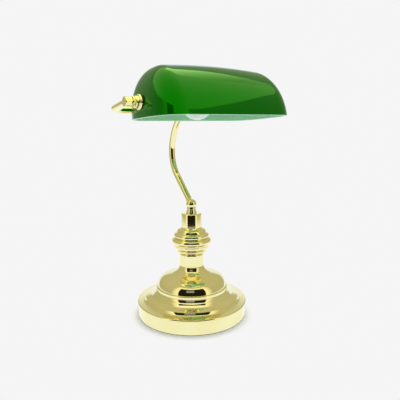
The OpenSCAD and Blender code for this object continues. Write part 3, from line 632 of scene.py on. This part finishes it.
def bent_tube(path, place, ring_points=40):
    """path holds a straight length, then a bend's radius and angle. It starts along +Y, bends to -X."""
    bm = bmesh.new()
    made = bmesh.ops.create_circle(bm, segments=ring_points, radius=TUBE_R)
    bmesh.ops.rotate(bm, matrix=Matrix.Rotation(math.radians(90), 3, "X"), verts=made["verts"])
    edges = bm.edges[:]
    heading = 0.0
    at = Vector((0, 0, 0))
    for length, bend_r, angle in path:
        ahead = Vector((-math.sin(heading), math.cos(heading), 0))
        pushed = bmesh.ops.extrude_edge_only(bm, edges=edges)["geom"]
        edges = [g for g in pushed if isinstance(g, bmesh.types.BMEdge)]
        verts = [g for g in pushed if isinstance(g, bmesh.types.BMVert)]
        bmesh.ops.translate(bm, vec=ahead * length, verts=verts)
        at = at + ahead * length
        if angle > 0:
            inward = Vector((-math.cos(heading), -math.sin(heading), 0))
            steps = max(6, round(angle / 3.5))
            swung = bmesh.ops.spin(bm, geom=edges + verts, cent=at + inward * bend_r, axis=(0, 0, 1),
                                   dvec=(0, 0, 0), angle=math.radians(angle), steps=steps, use_duplicate=False)
            edges = [g for g in swung["geom_last"] if isinstance(g, bmesh.types.BMEdge)]
            centre = at + inward * bend_r
            heading += math.radians(angle)
            at = centre - Vector((-math.cos(heading), -math.sin(heading), 0)) * bend_r
    bmesh.ops.remove_doubles(bm, verts=bm.verts, dist=0.001)
    bmesh.ops.recalc_face_normals(bm, faces=bm.faces)
    first = bm.faces[:][0]
    if first.normal.dot(first.calc_center_median() - Vector((0, first.calc_center_median().y, 0))) < 0:
        bmesh.ops.reverse_faces(bm, faces=bm.faces)
    bmesh.ops.solidify(bm, geom=bm.faces[:], thickness=TUBE_WALL)
    bmesh.ops.transform(bm, matrix=place, verts=bm.verts)
    return bm


# %% [markdown]
# The arm leans back from the ball, swings forward in a wide bend and meets the tee in a
# tighter one. Two lengths aren't free: the first straight and the last bend follow from
# where the tee has to be, so they are solved for here rather than written down.

# %% The arm
ARM_LEAN = 45
SOCKET = 10.0
LOW_BEND_R = 54
MID_LEAN = 15
TOP_LEAN = 52
MID_STRAIGHT = 3
ARM_END = 14
TEE_SOCKET = 8
RAIL_REACH = 65
RAIL_DROP = 8.6
RAIL_Y = PIVOT.y + RAIL_REACH
RAIL_Z = PIVOT.z - RAIL_DROP


def lean(degrees):
    return math.sin(math.radians(degrees)), math.cos(math.radians(degrees))


lean_s, lean_c = lean(ARM_LEAN)
mid_s, mid_c = lean(MID_LEAN)
top_s, top_c = lean(TOP_LEAN)
need_y = RAIL_Y - LOW_BEND_R * (mid_c - lean_c) + MID_STRAIGHT * mid_s + ARM_END * top_s
need_z = RAIL_Z - BALL.z - LOW_BEND_R * (lean_s + mid_s) - MID_STRAIGHT * mid_c - ARM_END * top_c
across = lean_s * (top_s - mid_s) - lean_c * (top_c - mid_c)
first_straight = (need_y * (top_s - mid_s) - need_z * (top_c - mid_c)) / across
top_bend_r = (lean_s * need_z - lean_c * need_y) / across
print("arm: first straight", round(first_straight, 2), "top bend radius", round(top_bend_r, 2))

arm_place = (Matrix.Translation(BALL) @ Matrix.Rotation(math.radians(-ARM_LEAN), 4, "X")
             @ Matrix.Rotation(math.radians(90), 4, "Z") @ Matrix.Rotation(math.radians(90), 4, "X")
             @ Matrix.Translation((0, SOCKET, 0)))
arm_path = [(first_straight - SOCKET, LOW_BEND_R, ARM_LEAN + MID_LEAN),
            (MID_STRAIGHT, top_bend_r, TOP_LEAN - MID_LEAN), (TEE_SOCKET, 0, 0)]
piece("arm_bent_tube", bent_tube(arm_path, arm_place), "arm", [brass], ["arm_tube"])

# %% [markdown]
# The yoke is a rail behind the shade, bent forward at both ends to reach the pivots. Each
# half is its own tube, let into the tee in the middle.

# %% The yoke
YOKE_BEND_R = 18
TOE = 6
TEE_HALF = 11
RAIL_SOCKET = 7
BLOCK_L = 9.6
YOKE_HALF = high("end_block_right").x - BLOCK_L / 2
toe_s, toe_c = lean(TOE)
yoke_depth = math.hypot(RAIL_REACH, RAIL_DROP)
yoke_slope = math.degrees(math.atan2(RAIL_DROP, RAIL_REACH))
yoke_side = (yoke_depth - YOKE_BEND_R * (1 - toe_s)) / toe_c
yoke_rail = YOKE_HALF - yoke_side * toe_s - YOKE_BEND_R * toe_c - TEE_HALF + RAIL_SOCKET
yoke_place = (Matrix.Translation((YOKE_HALF, PIVOT.y, PIVOT.z))
              @ Matrix.Rotation(math.radians(-yoke_slope), 4, "X") @ Matrix.Rotation(math.radians(TOE), 4, "Z")
              @ Matrix.Translation((0, 3, 0)))
yoke_path = [(yoke_side - 3, YOKE_BEND_R, 90 - TOE), (yoke_rail, 0, 0)]
for side, word in ((1, "right"), (-1, "left")):
    tube = bent_tube(yoke_path, yoke_place)
    if side < 0:
        bmesh.ops.scale(tube, vec=(-1, 1, 1), verts=tube.verts)
        bmesh.ops.reverse_faces(tube, faces=tube.faces)
    piece("yoke_bent_tube_" + word, tube, "arm", [brass], ["yoke_tube_" + word])

# %% [markdown]
# Each pivot is a stack of small turned pieces on a hollow threaded nipple: the end block
# of the yoke, a round lock nut with a grooved edge, a spacer bush and a dished washer
# that presses a rubber bush against the glass. Their places along the axis come from
# the solid parts, and the thread is cut as ridges 1 mm apart.

# %% The pivots
NUT_GROOVES = 36


def along(node):
    """Inner and outer end of a right-hand piece along the pivot axis."""
    return low(node).x, high(node).x


def fluted(bm, count, depth, r_low):
    """Presses grooves into the outer edge of a turned ring."""
    for vert in bm.verts:
        r = math.hypot(vert.co.x, vert.co.y)
        if r > r_low:
            a = math.atan2(vert.co.y, vert.co.x)
            k = 1 - depth / r * max(0.0, math.cos(count * a))
            vert.co.x *= k
            vert.co.y *= k


def thread(x_from, x_to, radius, pitch=1.0, depth=0.3):
    points = []
    turns = int((x_to - x_from) / pitch * 2)
    for i in range(turns + 1):
        points.append((radius - depth * (i % 2), x_from + i * pitch / 2))
    return points


BUSH_R = (high("spacer_bush_right").z - low("spacer_bush_right").z) / 2
WASHER_R = (high("outer_washer_right").z - low("outer_washer_right").z) / 2
LOCK_R = (high("lock_nut_right").z - low("lock_nut_right").z) / 2
BLOCK_R = (high("end_block_right").z - low("end_block_right").z) / 2
washer_x, washer_out = along("outer_washer_right")
bush_x, bush_out = along("spacer_bush_right")
lock_x, lock_out = along("lock_nut_right")
block_x, block_out = along("end_block_right")
nipple_x, nipple_out = along("nipple_right")

washer_outline = rounded(
    [(ROD_R + 0.3, washer_x), (WASHER_R - 0.4, washer_x)]
    + arc((WASHER_R, washer_x + 0.4), (WASHER_R - 1.6, washer_out - 0.5), -0.35, 8)
    + [(BUSH_R, washer_out - 0.9), (BUSH_R - 0.6, washer_out), (ROD_R + 0.3, washer_out)], 0.25, closed=True)
bush_outline = rounded(
    [(ROD_R, bush_x), (BUSH_R - 0.3, bush_x), (BUSH_R, bush_x + 0.3), (BUSH_R, bush_out - 1),
     (BUSH_R - 0.8, bush_out), (ROD_R, bush_out)], 0.3, closed=True)
lock_outline = rounded(
    [(ROD_R, lock_x), (LOCK_R - 0.3, lock_x), (LOCK_R, lock_x + 0.3), (LOCK_R, lock_out - 0.3),
     (LOCK_R - 0.3, lock_out), (ROD_R, lock_out)], 0.2, closed=True)
block_outline = rounded(
    [(0, block_x), (BLOCK_R, block_x), (BLOCK_R, block_out), (0, block_out)], 1.1)
nipple_outline = [(3.5, nipple_x)] + thread(nipple_x, nipple_out, ROD_R) + [(3.5, nipple_out)]

for side, word in ((1, "right"), (-1, "left")):
    for name, outline, body, node, closed in (
            ("pivot_washer_", washer_outline, "shade", "outer_washer_", True),
            ("pivot_bush_", bush_outline, "arm", "spacer_bush_", True),
            ("pivot_block_", block_outline, "arm", "end_block_", False),
            ("pivot_nipple_", nipple_outline, "arm", "nipple_", True)):
        turned = on_pivot_axis(turned_mesh(outline, closed=closed, segments=72), side)
        piece(name + word, turned, body, [brass], [node + word])
    nut = turned_mesh(lock_outline, segments=NUT_GROOVES * 6)
    fluted(nut, NUT_GROOVES, 0.22, LOCK_R - 0.5)
    piece("pivot_lock_nut_" + word, on_pivot_axis(nut, side), "arm", [brass],
          ["lock_nut_" + word])
    seal_x, seal_out = along("inner_washer_right")
    inner_r = (high("inner_washer_right").z - low("inner_washer_right").z) / 2
    inner_outline = rounded([(ROD_R + 0.3, seal_x), (inner_r, seal_x), (inner_r, seal_out), (ROD_R + 0.3, seal_out)],
                            0.25, closed=True)
    piece("pivot_inner_washer_" + word, on_pivot_axis(turned_mesh(inner_outline, segments=72), side), "shade",
          [brass], ["inner_washer_" + word])

# %% [markdown]
# The lampholder screws onto the left nipple inside the shade, and the bulb lies along the
# pivot axis. Only the ball of the opal bulb shows under the rim from the front, but the
# rest is seen from below. The bulb's screw cap has the rolled round thread of its kind.

# %% The lampholder and the bulb
def left_along(node):
    """Foot and mouth of a piece on the left, measured towards the middle of the lamp."""
    return low(node).x, high(node).x


def on_left_axis(bm):
    """Lays a piece made round Z along +X on the pivot axis, at its own place along X."""
    turn = Matrix.Rotation(math.radians(90), 4, "Y")
    bmesh.ops.transform(bm, matrix=turn, verts=bm.verts)
    bmesh.ops.translate(bm, vec=PIVOT, verts=bm.verts)
    return bm


HOLDER_R = (high("lampholder_cap").z - low("lampholder_cap").z) / 2
SCREW_R = 7.0
cap_x, cap_mouth = left_along("lampholder_cap")
body_x, body_mouth = left_along("lampholder_body")
bulb_x, screw_end = left_along("bulb_cap")
glass_x, bulb_tip = left_along("bulb_glass")
BULB_R = (high("bulb_glass").z - low("bulb_glass").z) / 2

holder_cap_outline = rounded(
    [(ROD_R, cap_x), (HOLDER_R - 3, cap_x), (HOLDER_R - 0.8, cap_x + 1.4), (HOLDER_R, cap_x + 4),
     (HOLDER_R, cap_mouth - 2.4), (HOLDER_R - 0.5, cap_mouth - 2), (HOLDER_R, cap_mouth - 1.6),
     (HOLDER_R, cap_mouth), (HOLDER_R - 2, cap_mouth), (HOLDER_R - 2, cap_x + 6), (ROD_R, cap_x + 7)],
    0.5, closed=True)
holder_body_outline = rounded(
    [(HOLDER_R - 1.8, body_x), (HOLDER_R, body_x), (HOLDER_R, body_x + 3), (HOLDER_R - 0.6, body_x + 3.6),
     (HOLDER_R - 0.6, body_mouth - 0.6), (HOLDER_R - 1.2, body_mouth), (SCREW_R + 2.2, body_mouth),
     (SCREW_R + 2.2, body_mouth - 2), (HOLDER_R - 1.8, body_mouth - 2)], 0.4, closed=True)
piece("lampholder_end_cap", on_left_axis(turned_mesh(holder_cap_outline, segments=96)), "arm",
      [moulding], ["lampholder_cap"])
piece("lampholder_barrel", on_left_axis(turned_mesh(holder_body_outline, segments=96)), "arm",
      [moulding], ["lampholder_body"])

screw_foot = bulb_x + 2.2
screw_outline = [(0, bulb_x), (2.4, bulb_x + 0.2), (3.2, bulb_x + 0.9), (4.2, screw_foot - 0.5),
                 (SCREW_R - 1.4, screw_foot)]
for i in range(61):
    turn = math.radians(36 * i)
    screw_outline.append((SCREW_R - 0.45 + 0.4 * math.sin(turn), screw_foot + 0.8 + 0.28 * i))
screw_outline += [(SCREW_R - 0.1, screw_end - 2), (SCREW_R + 0.1, screw_end), (0, screw_end)]
piece("bulb_screw_cap", on_left_axis(turned_mesh(screw_outline, closed=False, segments=72)), "arm",
      [brass], ["bulb_cap"])

BULB_JOIN = 132
ball_x = bulb_tip - BULB_R
join_s, join_c = lean(BULB_JOIN)
bulb_outline = (
    [(SCREW_R - 0.3, glass_x), (SCREW_R - 0.3, glass_x + 1)]
    + arc((SCREW_R + 0.2, glass_x + 2), (BULB_R * join_s, ball_x + BULB_R * join_c), 0.9, 8))
for i in range(1, 41):
    s, c = lean(BULB_JOIN * (1 - i / 40))
    bulb_outline.append((BULB_R * s, ball_x + BULB_R * c))
piece("opal_bulb", on_left_axis(spun_sheet(bulb_outline, 0.9, 0.3, 96)), "arm", [opal], ["bulb_glass"])

# %% [markdown]
# The shade. It starts as a sphere cut in half. Each point of it is a direction, and that
# direction is sent to the glass: seen from above its ends are squarer than an ellipse,
# seen from the side it is nearly one, its crest leans back, and the crest drops a little
# towards both ends. The half sphere is parted in the middle and bridged with a straight
# stretch, which is why the long front is so even.

# %% The shade's form
SHADE_L = 217.7
SHADE_W = 116.9
SHADE_H = 71.4
SHADE_END = 35.4
PLAN_N = 2.64
RISE_N = 2.11
CREST_SHIFT = 9.6
CROWN = 0.079
GLASS = 3.8
RIM_DROP = 19.95
SHADE_REACH = 6.16
SHADE_TILT = 3.83
SHADE_MID = SHADE_L / 2 - SHADE_END


def super_point(a, n):
    c = math.cos(a)
    s = math.sin(a)
    k = (abs(c) ** n + abs(s) ** n) ** (-1 / n)
    return c * k, s * k


def crown_at(x):
    return 1 - CROWN * (2 * x / SHADE_L) ** 2


def to_shade(co, inset):
    """Sends a point of the unit sphere to the glass, for one rounded end."""
    plan = super_point(math.atan2(co.y, co.x), PLAN_N)
    rise = super_point(math.atan2(max(co.z, 0), math.hypot(co.x, co.y)), RISE_N)
    x = plan[0] * rise[0] * (SHADE_END - inset)
    y = plan[1] * rise[0] * (SHADE_W / 2 - inset) + CREST_SHIFT * rise[1]
    return Vector((x, y, rise[1] * (SHADE_H - inset)))


def shade_skin(inset):
    bm = bmesh.new()
    bmesh.ops.create_uvsphere(bm, u_segments=128, v_segments=72, radius=1)
    for level in (0.0, 0.03):
        bmesh.ops.bisect_plane(bm, geom=bm.verts[:] + bm.edges[:] + bm.faces[:], dist=1e-5, plane_co=(0, 0, level),
                               plane_no=(0, 0, -1), clear_outer=level == 0.0)
    bmesh.ops.bisect_plane(bm, geom=bm.verts[:] + bm.edges[:] + bm.faces[:], dist=1e-5, plane_co=(0, 0, 0),
                           plane_no=(1, 0, 0))
    middle = [e for e in bm.edges if all(abs(v.co.x) < 1e-4 for v in e.verts)]
    bmesh.ops.split_edges(bm, edges=middle)
    for vert in bm.verts:
        reach = sum(f.calc_center_median().x for f in vert.link_faces)
        vert.co = to_shade(vert.co, inset) + Vector((math.copysign(SHADE_MID, reach), 0, 0))
    ends = [e for e in bm.edges if len(e.link_faces) == 1 and all(abs(abs(v.co.x) - SHADE_MID) < 1e-3 for v in e.verts)]
    bmesh.ops.bridge_loops(bm, edges=ends)
    long_edges = [e for e in bm.edges if abs(e.verts[0].co.x - e.verts[1].co.x) > SHADE_MID]
    bmesh.ops.subdivide_edges(bm, edges=long_edges, cuts=35, use_grid_fill=True)
    for vert in bm.verts:
        vert.co.z *= crown_at(vert.co.x)
    return bm


shade = shade_skin(0)
print("outer skin:", len(shade.faces), "faces")

# %% [markdown]
# The white layer inside is the same form, drawn in by the glass's thickness and turned
# to face inwards. A ring bridges the two at the rim, whose edges are ground round. The
# faces outside are green and all the others are white, as in cased glass.

# %% The glass wall
inner = shade_skin(GLASS)
bmesh.ops.reverse_faces(inner, faces=inner.faces)
for face in inner.faces:
    face.material_index = 1
inner_mesh = bpy.data.meshes.new("inner_skin")
inner.to_mesh(inner_mesh)
inner.free()
shade.from_mesh(inner_mesh)
bpy.data.meshes.remove(inner_mesh)
bmesh.ops.remove_doubles(shade, verts=shade.verts, dist=0.0005)
rim_edges = [e for e in shade.edges if len(e.link_faces) == 1]
ring = bmesh.ops.bridge_loops(shade, edges=rim_edges)
for face in ring["faces"]:
    face.material_index = 1
bmesh.ops.recalc_face_normals(shade, faces=shade.faces)
bmesh.ops.bevel(shade, geom=rim_edges, offset=0.9, offset_type="OFFSET", segments=3, profile=0.5,
                affect="EDGES", material=-1)
tilt = Matrix.Translation((0, PIVOT.y - SHADE_REACH, PIVOT.z - RIM_DROP)) @ Matrix.Rotation(
    math.radians(-SHADE_TILT), 4, "X")
bmesh.ops.transform(shade, matrix=tilt, verts=shade.verts)
glass = piece("cased_glass_shade", shade, "shade", [green, white], ["glass_shade"])

# %% [markdown]
# The pivots pass through one round hole in each end.

# %% The holes for the pivots
drill = rod_shape(ROD_R + 1.3, 2 * SHADE_L)
bmesh.ops.rotate(drill, matrix=Matrix.Rotation(math.radians(90), 3, "Y"), verts=drill.verts)
bmesh.ops.translate(drill, vec=PIVOT, verts=drill.verts)
cut(glass, drill)
print("shade:", len(glass.data.polygons), "faces")

# %% [markdown]
# The set. The lamp stood in a white tent with an open front, and polished brass shows all
# of it, so the tent matters as much as the metal. Close to the foot the floor is a real
# surface and keeps the lamp's soft shadow. Further off the camera sees plain white-grey.
# Mirrors look straight through this floor, because the tent below draws it for them.

# %% Helpers for the set
BACKDROP = 0.915
FLOOR_R = 6.0
SHADOW_FROM = 0.085
SHADOW_TO = 0.101


def smooth_step(tree, value, start, end):
    node = tree.nodes.new("ShaderNodeMapRange")
    node.interpolation_type = "SMOOTHSTEP"
    node.inputs["From Min"].default_value = start
    node.inputs["From Max"].default_value = end
    tree.links.new(value, node.inputs["Value"])
    return node.outputs["Result"]


def mix(tree, factor, first, second):
    node = tree.nodes.new("ShaderNodeMixShader")
    tree.links.new(factor, node.inputs["Fac"])
    tree.links.new(first, node.inputs[1])
    tree.links.new(second, node.inputs[2])
    return node.outputs[0]


def glow(tree, strength, colour=(1, 1, 1)):
    node = tree.nodes.new("ShaderNodeEmission")
    node.inputs["Color"].default_value = (*colour, 1)
    node.inputs["Strength"].default_value = strength
    return node.outputs[0]


def math_node(tree, operation, a, b=None):
    node = tree.nodes.new("ShaderNodeMath")
    node.operation = operation
    for socket, value in zip(node.inputs, (a, b)):
        if isinstance(value, (int, float)):
            socket.default_value = value
        elif value is not None:
            tree.links.new(value, socket)
    return node.outputs[0]


def seen_in_mirrors(tree):
    """One for rays that polished metal or glass sends out, and zero for all others."""
    rays = tree.nodes.new("ShaderNodeLightPath")
    return rays, math_node(tree, "MAXIMUM", rays.outputs["Is Glossy Ray"], rays.outputs["Is Transmission Ray"])


def set_material(name):
    material = bpy.data.materials.new(name)
    material.use_nodes = True
    material.cycles.emission_sampling = "NONE"
    tree = material.node_tree
    tree.nodes.clear()
    output = tree.nodes.new("ShaderNodeOutputMaterial")
    return material, tree, output.inputs["Surface"]


def stage_sheet(name, bm, material):
    mesh = bpy.data.meshes.new(name)
    bm.to_mesh(mesh)
    bm.free()
    sheet = bpy.data.objects.new(name, mesh)
    bpy.context.scene.collection.objects.link(sheet)
    sheet.data.materials.append(material)
    return sheet


def flat_sheet(name, corners, height, material):
    """A flat sheet of the set, drawn by its corners and laid at a height in metres."""
    bm = bmesh.new()
    bm.faces.new([bm.verts.new((x, y, height)) for x, y in corners])
    return stage_sheet(name, bm, material)


def hanging_strip(name, radius, headings, low, high, material):
    """A strip of the set that hangs round the column, from one height up to another."""
    bm = bmesh.new()
    turns = [math.radians(heading) for heading in headings]
    edge = [bm.verts.new((radius * math.cos(turn), radius * math.sin(turn), low)) for turn in turns]
    for pair in zip(edge, edge[1:]):
        bm.edges.new(pair)
    grown = bmesh.ops.extrude_edge_only(bm, edges=bm.edges[:])["geom"]
    raised = [v for v in grown if isinstance(v, bmesh.types.BMVert)]
    bmesh.ops.translate(bm, verts=raised, vec=(0, 0, high - low))
    return stage_sheet(name, bm, material)


# %% The floor
def floor_material():
    material, tree, surface = set_material("pale_floor")
    paper = tree.nodes.new("ShaderNodeBsdfDiffuse")
    paper.inputs["Color"].default_value = (0.97, 0.97, 0.97, 1)
    clear = tree.nodes.new("ShaderNodeBsdfTransparent")
    where = tree.nodes.new("ShaderNodeTexCoord")
    length = tree.nodes.new("ShaderNodeVectorMath")
    length.operation = "LENGTH"
    tree.links.new(where.outputs["Object"], length.inputs[0])
    far_off = smooth_step(tree, length.outputs["Value"], SHADOW_FROM, SHADOW_TO)
    seen = mix(tree, far_off, paper.outputs[0], glow(tree, BACKDROP))
    rays, mirrored = seen_in_mirrors(tree)
    by_gloss = mix(tree, mirrored, paper.outputs[0], clear.outputs[0])
    tree.links.new(mix(tree, rays.outputs["Is Camera Ray"], by_gloss, seen), surface)
    return material


round_floor = [(FLOOR_R * math.cos(math.tau * i / 96), FLOOR_R * math.sin(math.tau * i / 96)) for i in range(96)]
flat_sheet("floor", round_floor, 0.0, floor_material())

# %% [markdown]
# What lights the lamp and what its mirrors show are kept apart. The light is even, as in
# a tent. The mirrored tent is drawn by direction in the world's own nodes, so it stays
# put when the camera goes round the lamp: warm grey walls, the white floor from 15
# degrees below the horizon, the white sweep of paper behind, which is broad at its foot,
# and the open front, which is nearly black and has a window far behind the camera.

# %% The tent, by direction
TENT_LIGHT = 0.82
WALL_LOW = (0.50, 0.49, 0.35)
WALL_HIGH = (0.57, 0.55, 0.38)
FLOOR_SEEN = (0.99, 1.07, 1.19)
SWEEP = (0.93, 0.99, 1.12)
ROOM = (0.014, 0.013, 0.008)
WINDOW = (0.30, 0.30, 0.40)
HEM = (1.1, 1.08, 0.85)
SWEEP_TOWARDS = 57
OPEN_TOWARDS = -122.5
WINDOW_TOWARDS = -128.5

world = bpy.data.worlds.new("tent")
bpy.context.scene.world = world
world.use_nodes = True
sky = world.node_tree
sky.nodes.clear()
sky_out = sky.nodes.new("ShaderNodeOutputWorld")
direction = sky.nodes.new("ShaderNodeTexCoord").outputs["Generated"]
parts = sky.nodes.new("ShaderNodeSeparateXYZ")
sky.links.new(direction, parts.inputs[0])
level = math_node(sky, "SQRT", math_node(sky, "SUBTRACT", 1.0, math_node(sky, "POWER", parts.outputs["Z"], 2.0)))
rise = math_node(sky, "DEGREES", math_node(sky, "ARCSINE", parts.outputs["Z"]))


def aside_of(heading):
    """Degrees that a direction lies to either side of a heading, seen from above."""
    turn = sky.nodes.new("ShaderNodeVectorMath")
    turn.operation = "DOT_PRODUCT"
    turn.inputs[1].default_value = (math.cos(math.radians(heading)), math.sin(math.radians(heading)), 0)
    sky.links.new(direction, turn.inputs[0])
    return math_node(sky, "DEGREES", math_node(sky, "ARCCOSINE", math_node(sky, "DIVIDE", turn.outputs["Value"], level)))


def below(value, limit, soft):
    """One where the value is under the limit and zero over it, with a soft edge."""
    return math_node(sky, "SUBTRACT", 1.0, smooth_step(sky, value, limit - soft, limit + soft))


def sky_glow(colour, strength=1.0):
    node = sky.nodes.new("ShaderNodeBackground")
    node.inputs["Color"].default_value = (*colour, 1)
    node.inputs["Strength"].default_value = strength
    return node.outputs[0]


# %% Walls, sweep, open front, window and floor
SWEEP_FOOT = 52
SWEEP_NARROWS = 1.1
FLOOR_AT = -13.7
HAZE_AT = -11.5
OPEN_HALF = 45.5
OPEN_TOP = 47
HEM_HALF = 62
HEM_TOP = 58
WINDOW_HALF = 13.5
WINDOW_MID = 28.5
WINDOW_RISE = 9.5

tent = mix(sky, smooth_step(sky, rise, FLOOR_AT, 55), sky_glow(WALL_LOW), sky_glow(WALL_HIGH))
tent = mix(sky, below(rise, HAZE_AT, 2.5), tent, sky_glow(FLOOR_SEEN))
narrowing = math_node(sky, "MULTIPLY", math_node(sky, "SUBTRACT", rise, FLOOR_AT), SWEEP_NARROWS)
across_sweep = math_node(sky, "ADD", aside_of(SWEEP_TOWARDS), narrowing)
tent = mix(sky, below(across_sweep, SWEEP_FOOT, 7), tent, sky_glow(SWEEP))
opening = math_node(sky, "MULTIPLY", below(aside_of(OPEN_TOWARDS), OPEN_HALF, 1.5), below(rise, OPEN_TOP, 1.5))
tent = mix(sky, opening, tent, sky_glow(ROOM))
hem = math_node(sky, "MULTIPLY", below(aside_of(OPEN_TOWARDS), HEM_HALF, 12), below(rise, HEM_TOP, 2))
tent = mix(sky, math_node(sky, "MULTIPLY", hem, math_node(sky, "SUBTRACT", 1.0, opening)), tent, sky_glow(HEM))
off_middle = math_node(sky, "ABSOLUTE", math_node(sky, "SUBTRACT", rise, WINDOW_MID))
pane = math_node(sky, "MULTIPLY", below(aside_of(WINDOW_TOWARDS), WINDOW_HALF, 1), below(off_middle, WINDOW_RISE, 1))
tent = mix(sky, pane, tent, sky_glow(WINDOW))
tent = mix(sky, below(rise, FLOOR_AT, 0.5), tent, sky_glow(FLOOR_SEEN))
rays, mirrored = seen_in_mirrors(sky)
lit = mix(sky, mirrored, sky_glow((1, 1, 1), TENT_LIGHT), tent)
seen = sky_glow((1, 1, 1), BACKDROP)
sky.links.new(mix(sky, rays.outputs["Is Camera Ray"], lit, seen), sky_out.inputs["Surface"])
print("tent drawn with", len(sky.nodes), "nodes")

# %% [markdown]
# The tent's ceiling hangs close over the shade, so it can't be drawn by direction alone: the
# glass is near enough to see all of it, and the foot, far below, sees mostly the tent. It is
# a real flat sheet that only mirrors see, and only from nearer than its reach. One part of it
# is a softbox, whose reflection is the pale band along the top of the glass. A strip hangs
# from the ceiling's front edge and keeps the dark opening out of the front of the glass.

# %% The ceiling
CEILING_Z = 0.55
CEILING = [
    (0.10, -0.56), (0.23, -0.52), (0.255, -0.38), (0.28, -0.24), (0.33, -0.12), (0.26, -0.068),
    (0.19, -0.032), (0.12, 0.010), (0.0, 0.072), (-0.26, 0.19), (-0.36, 0.18), (-0.46, 0.12),
    (-0.50, 0.0), (-0.49, -0.12), (-0.42, -0.26), (-0.30, -0.39), (-0.12, -0.54),
]
SOFTBOX = [(-0.056, 0.025), (0.09, -0.092), (0.20, -0.106), (0.32, -0.112), (0.26, -0.072), (0.19, -0.036),
           (0.12, 0.006), (0.0, 0.068)]
SOFTBOX_DROP = 0.004
CEILING_TINT = (0.93, 1.0, 0.48)
CEILING_GLOW = 1.45
CEILING_REACH = 0.52
SOFTBOX_FADES = (-0.4, 1.0, 0.0)
SOFTBOX_DIM = (-0.15, 1.2)
SOFTBOX_BRIGHT = (0.04, 3.3)
FLAP_R = 0.30
FLAP_LOW = 0.37
FLAP_REACH = 0.3


def mirror_only(name, strength, reach):
    """A glow that only polished things see, and only from nearer than its reach in metres."""
    material, tree, surface = set_material(name)
    clear = tree.nodes.new("ShaderNodeBsdfTransparent")
    rays, mirrored = seen_in_mirrors(tree)
    near = math_node(tree, "LESS_THAN", rays.outputs["Ray Length"], reach)
    shown = math_node(tree, "MULTIPLY", mirrored, near)
    tree.links.new(mix(tree, shown, clear.outputs[0], glow(tree, strength, CEILING_TINT)), surface)
    return material


def fade(material, along, start, end):
    """The glow changes along a direction from one strength to another, as a real softbox's does."""
    tree = material.node_tree
    where = tree.nodes.new("ShaderNodeTexCoord")
    way = tree.nodes.new("ShaderNodeVectorMath")
    way.operation = "DOT_PRODUCT"
    way.inputs[1].default_value = along
    ramp = tree.nodes.new("ShaderNodeMapRange")
    for socket, value in zip(("From Min", "To Min", "From Max", "To Max"), (*start, *end)):
        ramp.inputs[socket].default_value = value
    tree.links.new(where.outputs["Object"], way.inputs[0])
    tree.links.new(way.outputs["Value"], ramp.inputs["Value"])
    shine = [node for node in tree.nodes if node.type == "EMISSION"][0]
    tree.links.new(ramp.outputs["Result"], shine.inputs["Strength"])


flat_sheet("ceiling", CEILING, CEILING_Z, mirror_only("tent_ceiling", CEILING_GLOW, CEILING_REACH))
softbox_front = mirror_only("softbox_front", SOFTBOX_BRIGHT[1], CEILING_REACH)
fade(softbox_front, SOFTBOX_FADES, SOFTBOX_DIM, SOFTBOX_BRIGHT)
flat_sheet("ceiling_softbox", SOFTBOX, CEILING_Z - SOFTBOX_DROP, softbox_front)
flap = mirror_only("tent_flap", CEILING_GLOW, FLAP_REACH)
hanging_strip("front_flap", FLAP_R, range(-132, -76, 4), FLAP_LOW, CEILING_Z, flap)

# %% [markdown]
# One weak area light stands for the softbox where light falls on matt surfaces, so that
# the rubber, the bulb and the floor have a gentle shadow side. Mirrors don't see it,
# because the sheet above is already there for them.

# %% The softbox
def softbox(name, place, towards, width, height, watts):
    data = bpy.data.lights.new(name, "AREA")
    data.shape = "RECTANGLE"
    data.size = width
    data.size_y = height
    data.energy = watts
    lamp = bpy.data.objects.new(name, data)
    lamp.location = place
    lamp.rotation_mode = "QUATERNION"
    lamp.rotation_quaternion = (Vector(towards) - Vector(place)).to_track_quat("-Z", "Y")
    lamp.visible_glossy = False
    bpy.context.scene.collection.objects.link(lamp)
    return lamp


softbox("softbox_light", (0.3, 0.2, 1.2), (0.0, -0.05, 0.3), 0.7, 0.7, 5)

# %% [markdown]
# The camera stands where the photographer stood. Its place was worked out from the
# outlines of the foot, the column and the shade in a square picture of 400 pixels.

# %% The camera
PICTURE_PX = 400
FOCAL_PX = 438.28
EYE = Vector((-366.2, -559.7, 302.6)) * MM
HEADING = math.radians(34.354)
PITCH = math.radians(10.135)
ROLL = math.radians(-0.16)
SENSOR = 36.0

forward = Vector((math.sin(HEADING) * math.cos(PITCH), math.cos(HEADING) * math.cos(PITCH), -math.sin(PITCH)))
level_right = Vector((math.cos(HEADING), -math.sin(HEADING), 0))
level_up = level_right.cross(forward)
right = level_right * math.cos(ROLL) + level_up * math.sin(ROLL)
up = level_up * math.cos(ROLL) - level_right * math.sin(ROLL)
view_data = bpy.data.cameras.new("camera")
view_data.sensor_fit = "HORIZONTAL"
view_data.sensor_width = SENSOR
view_data.lens = FOCAL_PX / PICTURE_PX * SENSOR
camera = bpy.data.objects.new("camera", view_data)
bpy.context.scene.collection.objects.link(camera)
camera.rotation_mode = "QUATERNION"
camera.rotation_quaternion = Matrix((right, up, -forward)).transposed().to_quaternion()
camera.location = EYE
bpy.context.scene.camera = camera
bpy.context.scene.view_settings.view_transform = "Standard"

# %% [markdown]
# Last, the scene is brought up to date.

# %% The end
bpy.context.view_layer.update()
